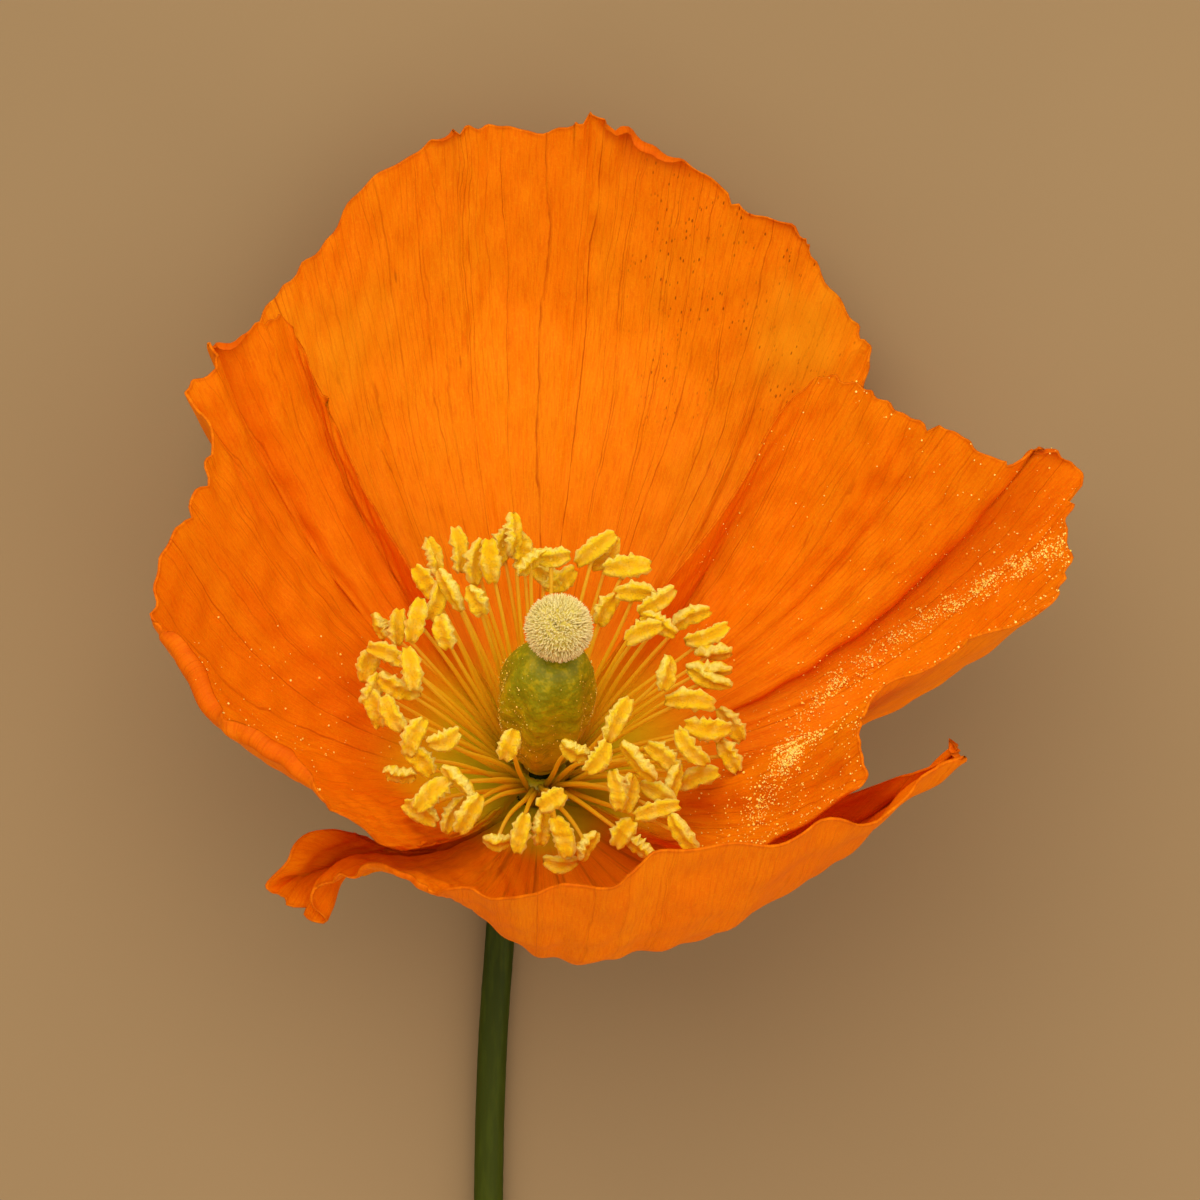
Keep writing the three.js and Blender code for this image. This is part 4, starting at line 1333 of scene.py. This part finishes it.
def stigma_finish():
    finish = Finish("Stigma")
    tip = finish.value_of("tip")
    place = finish.place()
    patch = finish.noise(place, scale=0.7, detail=2.0)
    colour = finish.layered(rgb(246, 226, 104), [
        (tip.step(0.1, 0.9), rgb(255, 248, 186)),
        (patch.step(0.5, 0.7) * 0.35, rgb(238, 226, 96)),
    ])
    values = {
        "Base Color": colour,
        "Roughness": 0.7,
        "Sheen Weight": 0.3,
        "Normal": finish.bump(finish.noise(place, scale=6.0), 0.04, 0.4),
    }
    return finish.coat(values, 0.3, STIGMA_GLOW)


def stem_path():
    """The stem's centre line: a bend down from the flower, then along the surface."""
    a = polar(0, 0, RECEPTACLE_LEVEL - RECEPTACLE_LENGTH)
    lying = np.array([(x, y, STEM_RADIUS - BASE_HEIGHT) for x, y in STEM_ROUTE])
    b = a - FACING * 2
    c = lying[0] + np.array([0.15, 3.4, 0])
    d = lying[0]
    t = np.linspace(0, 1, BEND_STEPS, endpoint=False)[:, None]
    bend = a * (1 - t) ** 3 + 3 * b * t * (1 - t) ** 2 + 3 * c * t ** 2 * (1 - t) + d * t ** 3
    return np.vstack([bend, curve(lying, np.linspace(0, 1, LYING_STEPS))])


def make_stem(finish):
    sides = STEM_SIDES
    rng = np.random.default_rng(STEM_SEED)
    path = stem_path()
    core_to_neck = [
        (CORE_LEVEL, CORE_RADIUS),
        (RECEPTACLE_LEVEL + 0.1, CORE_RADIUS),
        (RECEPTACLE_LEVEL, CORE_RADIUS * 1.2),
        (RECEPTACLE_LEVEL, 0.7 * RECEPTACLE_RADIUS),
        (RECEPTACLE_LEVEL - 0.12 * RECEPTACLE_LENGTH, 0.92 * RECEPTACLE_RADIUS),
        (RECEPTACLE_LEVEL - 0.3 * RECEPTACLE_LENGTH, RECEPTACLE_RADIUS),
        (RECEPTACLE_LEVEL - 0.45 * RECEPTACLE_LENGTH, 0.9 * RECEPTACLE_RADIUS),
        (RECEPTACLE_LEVEL - 0.6 * RECEPTACLE_LENGTH, RECEPTACLE_RADIUS * 0.75),
        (RECEPTACLE_LEVEL - 0.8 * RECEPTACLE_LENGTH, RECEPTACLE_RADIUS * 0.66),
    ]
    angle = 360 * np.arange(sides) / sides
    rings = [
        polar(angle - 90, np.full(sides, radius), np.full(sides, level))
        for level, radius in core_to_neck
    ]
    t = np.linspace(0, 1, len(path))
    radii = STEM_RADIUS * (1 + NECK_FLARE * np.exp(-t / 0.01))[:, None]
    grid_t, grid_a = np.meshgrid(t, angle / 360, indexing="ij")
    fluted = 1 - FLUTE_DEPTH + FLUTE_DEPTH * np.cos(2 * np.pi * FLUTES * grid_a)
    knots = 1 + KNOT_HEIGHT * ripple_round(rng, grid_a, grid_t * 6, 9)
    tube = tube_points(path, radii * fluted * knots, sides, np.array([1.0, 0.0, 0.0]))
    points = np.vstack([np.array(rings).reshape(-1, 3), tube.reshape(-1, 3)])
    points[:, 2] = np.maximum(points[:, 2], -BASE_HEIGHT)
    piece = make_mesh("stem_fine", points, tube_faces(len(rings) + len(path), sides), finish)
    down = np.concatenate([np.zeros(len(rings) * sides), np.repeat(t, sides)])
    add_value(piece, "down", down)
    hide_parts("stem")


def stem_finish():
    finish = Finish("Stem")
    down = finish.value_of("down")
    place = finish.place()
    drawn_out = {0: place, 1: (1.0, 0.16, 1.0)}
    long_way = finish.node("ShaderNodeVectorMath", {"operation": "MULTIPLY"}, drawn_out)
    fibres = finish.noise(long_way, scale=2.6, detail=3.0)
    broad = finish.noise(long_way, scale=0.5, detail=1.0)
    pale = finish.cells(long_way, scale=1.1)
    spots = finish.cells(long_way, scale=1.1, output="Position")
    picked = finish.chance(spots) > PALE_SPECKS
    colour = finish.layered(rgb(34, 44, 2), [
        (down.step(0.02, 0.4), rgb(50, 58, 2)),
        (fibres.step(0.4, 0.7) * 0.35, rgb(68, 78, 10)),
        (broad.step(0.5, 0.7) * 0.3, rgb(52, 42, 6)),
        ((1 - pale.step(0.03, 0.10)) * picked * 0.7, rgb(190, 184, 110)),
        (down.step(0.9985, 0.9995) * 0.8, rgb(176, 178, 110)),
    ])
    values = {
        "Base Color": colour,
        "Roughness": 0.45 + fibres * 0.15,
        "Specular IOR Level": 0.10,
        "Normal": finish.bump(fibres, 0.05, 0.5),
    }
    return finish.coat(values)


# ---------- Pollen ----------

POLLEN_SEED = 211
GRAIN_SCATTER = 0.12            # mm along the surface, so that grains leave the mesh's rows
GRAIN_SIZE = (3.0, 0.009)       # shape and scale of the draw of a radius in mm
LEAST_GRAIN = 0.016
GRAIN_HEIGHT = 0.6              # of its centre above the surface, in radii
OVARY_COARSENESS = 0.6          # size of the grains on the ovary against the petals'


def grain_mesh():
    """A twenty-sided grain 2 across."""
    g = (1 + math.sqrt(5)) / 2
    corners = unit(np.array([
        (-1, g, 0), (1, g, 0), (-1, -g, 0), (1, -g, 0), (0, -1, g), (0, 1, g),
        (0, -1, -g), (0, 1, -g), (g, 0, -1), (g, 0, 1), (-g, 0, -1), (-g, 0, 1),
    ], float))
    faces = [
        (0, 11, 5), (0, 5, 1), (0, 1, 7), (0, 7, 10), (0, 10, 11), (1, 5, 9), (5, 11, 4),
        (11, 10, 2), (10, 7, 6), (7, 1, 8), (3, 9, 4), (3, 4, 2), (3, 2, 6), (3, 6, 8),
        (3, 8, 9), (4, 9, 5), (2, 4, 11), (6, 2, 10), (8, 6, 7), (9, 8, 1),
    ]
    return corners, faces


def make_pollen(name, fallen_on, count, finish, coarseness=1.0):
    """Grains that lie on the petals or the ovary, more where the dust mask is high."""
    rng = np.random.default_rng(POLLEN_SEED)
    corners, corner_faces = grain_mesh()
    every, faces = [], []
    weights = [masks["dust"] for _, _, masks in fallen_on]
    total = sum(w.sum() for w in weights)
    for (surface, normals, _), weight in zip(fallen_on, weights):
        share = int(round(count * weight.sum() / total))
        if not share:
            continue
        chosen = rng.choice(weight.size, share, p=(weight / weight.sum()).ravel())
        up = normals.reshape(-1, 3)[chosen]
        aside = rng.normal(0, GRAIN_SCATTER, (share, 3))
        aside -= (aside * up).sum(axis=1)[:, None] * up
        spots = surface.reshape(-1, 3)[chosen] + aside
        sizes = (rng.gamma(*GRAIN_SIZE, share) + LEAST_GRAIN) * coarseness
        for spot, n, size in zip(spots, up, sizes):
            first = len(every) * len(corners)
            faces += [tuple(first + k for k in f) for f in corner_faces]
            every.append(spot + n * size * GRAIN_HEIGHT + corners * size)
    piece = make_mesh(name, np.vstack(every), faces, finish)


def pollen_finish():
    finish = Finish("Pollen")
    patch = finish.noise(finish.place(), scale=2.0)
    colour = finish.mix(patch.step(0.4, 0.6), rgb(255, 208, 70), rgb(255, 232, 120))
    return finish.coat({"Base Color": colour, "Roughness": 0.7})


# ---------- Stage ----------

FLOOR_HALF = 0.9                # m
FLOOR_SHADE = 0.94              # its darker patches against its colour
LENS = 190                      # mm
SENSOR = 36
NEAREST = 0.01                  # m
WARM = (1.0, 0.92, 0.78)
WARM_SKY = (1.0, 0.92, 0.76)
SKY_STRENGTH = 0.7
# Lights: name, place and aim in m, size in m, power in W and colour.
LIGHTS = [
    ("key", (-0.12, 0.42, 0.62), (0, 0, 0), 0.9, 5.0, WARM_SKY),
    ("fill", (0.45, -0.05, 0.55), (0, 0, 0), 0.8, 1.4, WARM),
    ("low fill", (0.02, -0.50, 0.26), (0, -0.02, 0.01), 0.5, 0.75, WARM),
]


def make_floor(finish):
    half = FLOOR_HALF
    mesh = bpy.data.meshes.new("floor")
    corners = [(-half, -half, 0), (half, -half, 0), (half, half, 0), (-half, half, 0)]
    mesh.from_pydata(corners, [], [(0, 1, 2, 3)])
    mesh.materials.append(finish)
    floor = bpy.data.objects.new("floor", mesh)
    bpy.context.scene.collection.objects.link(floor)


def floor_finish(colour):
    finish = Finish("Floor")
    grain = finish.noise(finish.place(), scale=0.02, detail=2.0)
    shaded = opaque(c * FLOOR_SHADE for c in colour)
    tone = finish.mix(grain.step(0.3, 0.7), opaque(colour), shaded)
    return finish.coat({"Base Color": tone, "Roughness": 0.85})


def make_light(name, place, aim, size, power, colour):
    lamp = bpy.data.lights.new(name, "AREA")
    lamp.shape = "DISK"
    lamp.size = size
    lamp.energy = power
    lamp.color = colour
    held = bpy.data.objects.new(name, lamp)
    held.location = place
    held.rotation_euler = (Vector(aim) - Vector(place)).to_track_quat("-Z", "Y").to_euler()
    bpy.context.scene.collection.objects.link(held)


def make_camera(settings):
    lens = bpy.data.cameras.new("camera")
    lens.lens = LENS
    lens.sensor_width = SENSOR
    lens.clip_start = NEAREST
    held = bpy.data.objects.new("camera", lens)
    held.location = (settings.aim_x, settings.aim_y, settings.camera_height)
    held.rotation_euler = (0, 0, 0)
    bpy.context.scene.collection.objects.link(held)
    bpy.context.scene.camera = held


# ---------- Settings ----------


class PetalSettings(PropertyGroup):
    columns: IntProperty(name="Columns", description="Points across a petal", default=260, min=40)
    rows: IntProperty(
        name="Rows", description="Points from the claw to the rim", default=110, min=20
    )
    thickness: FloatProperty(
        name="Thickness", description="How thick a petal is",
        default=0.00016, unit="LENGTH", precision=5,
    )
    vein_spacing: FloatProperty(
        name="Vein spacing", description="Between middle veins, half way up a petal",
        default=0.0013, unit="LENGTH", precision=5,
    )
    vein_depth: FloatProperty(
        name="Vein depth", description="How far veins stand out",
        default=0.00008, unit="LENGTH", precision=5,
    )
    orange: FloatVectorProperty(
        name="Orange", description="Main petal colour", subtype="COLOR", size=3,
        default=rgb(252, 138, 3)[:3],
    )
    red: FloatVectorProperty(
        name="Red orange", description="Colour of the outer sides", subtype="COLOR", size=3,
        default=rgb(246, 120, 3)[:3],
    )
    light_through: FloatProperty(
        name="Light through", description="Share of light that a petal lets through",
        subtype="FACTOR", default=0.22, min=0, max=1,
    )
    pollen: IntProperty(
        name="Pollen grains", description="Grains fallen on the petals", default=4200
    )


class StamenSettings(PropertyGroup):
    seed: IntProperty(
        name="Seed", description="Picks how each anther is bent and frilled", default=4127
    )
    anther_width: FloatProperty(
        name="Anther width", description="Across both lobes",
        default=0.0013, unit="LENGTH", precision=5,
    )
    anther_depth: FloatProperty(
        name="Anther depth", description="Through one lobe",
        default=0.0009, unit="LENGTH", precision=5,
    )
    pollen_yellow: FloatVectorProperty(
        name="Pollen yellow", description="Anther colour", subtype="COLOR", size=3,
        default=rgb(255, 214, 14)[:3],
    )


class PistilSettings(PropertyGroup):
    hairs: IntProperty(name="Hairs", description="Short hairs on the stigma", default=3000)
    ovary_pollen: IntProperty(
        name="Pollen grains", description="Grains stuck to the ovary", default=1100
    )


class StageSettings(PropertyGroup):
    floor_colour: FloatVectorProperty(
        name="Floor", description="Colour of the floor", subtype="COLOR", size=3,
        default=rgb(142, 116, 82)[:3],
    )
    aim_x: FloatProperty(
        name="Aim X", description="Camera's place across the flower",
        default=0.0036, unit="LENGTH", precision=5,
    )
    aim_y: FloatProperty(
        name="Aim Y", description="Camera's place along the flower",
        default=-0.0124, unit="LENGTH", precision=5,
    )
    camera_height: FloatProperty(
        name="Camera height", description="Camera above the floor",
        default=0.3874, unit="LENGTH", precision=5,
    )


# ---------- Operators ----------


class POPPY_OT_petals(Operator):
    """Make the four petals and the pollen on them"""

    bl_idname = "poppy.petals"
    bl_label = "Petals"

    def execute(self, context):
        settings = context.scene.poppy_petals
        finish = petal_finish(settings)
        fallen_on = []
        for name, spec in PETALS.items():
            fallen_on.append(make_petal(name, spec, settings, finish))
        make_pollen("pollen", fallen_on, settings.pollen, pollen_finish())
        return {"FINISHED"}


class POPPY_OT_stamens(Operator):
    """Make the anthers, their filaments and the ring they grow from"""

    bl_idname = "poppy.stamens"
    bl_label = "Stamens"

    def execute(self, context):
        settings = context.scene.poppy_stamens
        make_stamens(settings, anther_finish(settings), filament_finish())
        return {"FINISHED"}


class POPPY_OT_ovary(Operator):
    """Make the ribbed ovary"""

    bl_idname = "poppy.ovary"
    bl_label = "Ovary"

    def execute(self, context):
        settings = context.scene.poppy_pistil
        fallen_on = [make_ovary(ovary_finish())]
        count = settings.ovary_pollen
        make_pollen("ovary_pollen", fallen_on, count, pollen_finish(), OVARY_COARSENESS)
        return {"FINISHED"}


class POPPY_OT_stigma(Operator):
    """Make the pale stigma with its short hairs"""

    bl_idname = "poppy.stigma"
    bl_label = "Stigma"

    def execute(self, context):
        make_stigma(context.scene.poppy_pistil, stigma_finish())
        return {"FINISHED"}


class POPPY_OT_stem(Operator):
    """Make the stem with its receptacle"""

    bl_idname = "poppy.stem"
    bl_label = "Stem"

    def execute(self, context):
        make_stem(stem_finish())
        return {"FINISHED"}


class POPPY_OT_stage(Operator):
    """Make the floor, the lights and the camera"""

    bl_idname = "poppy.stage"
    bl_label = "Stage"

    def execute(self, context):
        settings = context.scene.poppy_stage
        make_floor(floor_finish(settings.floor_colour))
        for light in LIGHTS:
            make_light(*light)
        world = bpy.data.worlds.new("soft sky")
        world.use_nodes = True
        sky = world.node_tree.nodes["Background"]
        sky.inputs["Color"].default_value = opaque(WARM_SKY)
        sky.inputs["Strength"].default_value = SKY_STRENGTH
        context.scene.world = world
        context.scene.view_settings.view_transform = "Standard"
        make_camera(settings)
        return {"FINISHED"}


class POPPY_PT_panel(Panel):
    bl_label = "Poppy flower"
    bl_idname = "POPPY_PT_panel"
    bl_space_type = "VIEW_3D"
    bl_region_type = "UI"
    bl_category = "Poppy"

    def draw(self, context):
        layout = self.layout
        for operator in OPERATORS:
            layout.operator(operator.bl_idname)
        for group, holder in GROUPS.items():
            box = layout.box()
            settings = getattr(context.scene, group)
            for name in holder.__annotations__:
                box.prop(settings, name)


GROUPS = {
    "poppy_petals": PetalSettings,
    "poppy_stamens": StamenSettings,
    "poppy_pistil": PistilSettings,
    "poppy_stage": StageSettings,
}
OPERATORS = [
    POPPY_OT_petals,
    POPPY_OT_stamens,
    POPPY_OT_ovary,
    POPPY_OT_stigma,
    POPPY_OT_stem,
    POPPY_OT_stage,
]


def register():
    for made in [*GROUPS.values(), *OPERATORS, POPPY_PT_panel]:
        bpy.utils.register_class(made)
    for group, holder in GROUPS.items():
        setattr(bpy.types.Scene, group, PointerProperty(type=holder))


def unregister():
    for group in GROUPS:
        delattr(bpy.types.Scene, group)
    for made in reversed([*GROUPS.values(), *OPERATORS, POPPY_PT_panel]):
        bpy.utils.unregister_class(made)


def main():
    register()
    for operator in OPERATORS:
        family, name = operator.bl_idname.split(".")
        getattr(getattr(bpy.ops, family), name)()


if __name__ == "__main__":
    main()
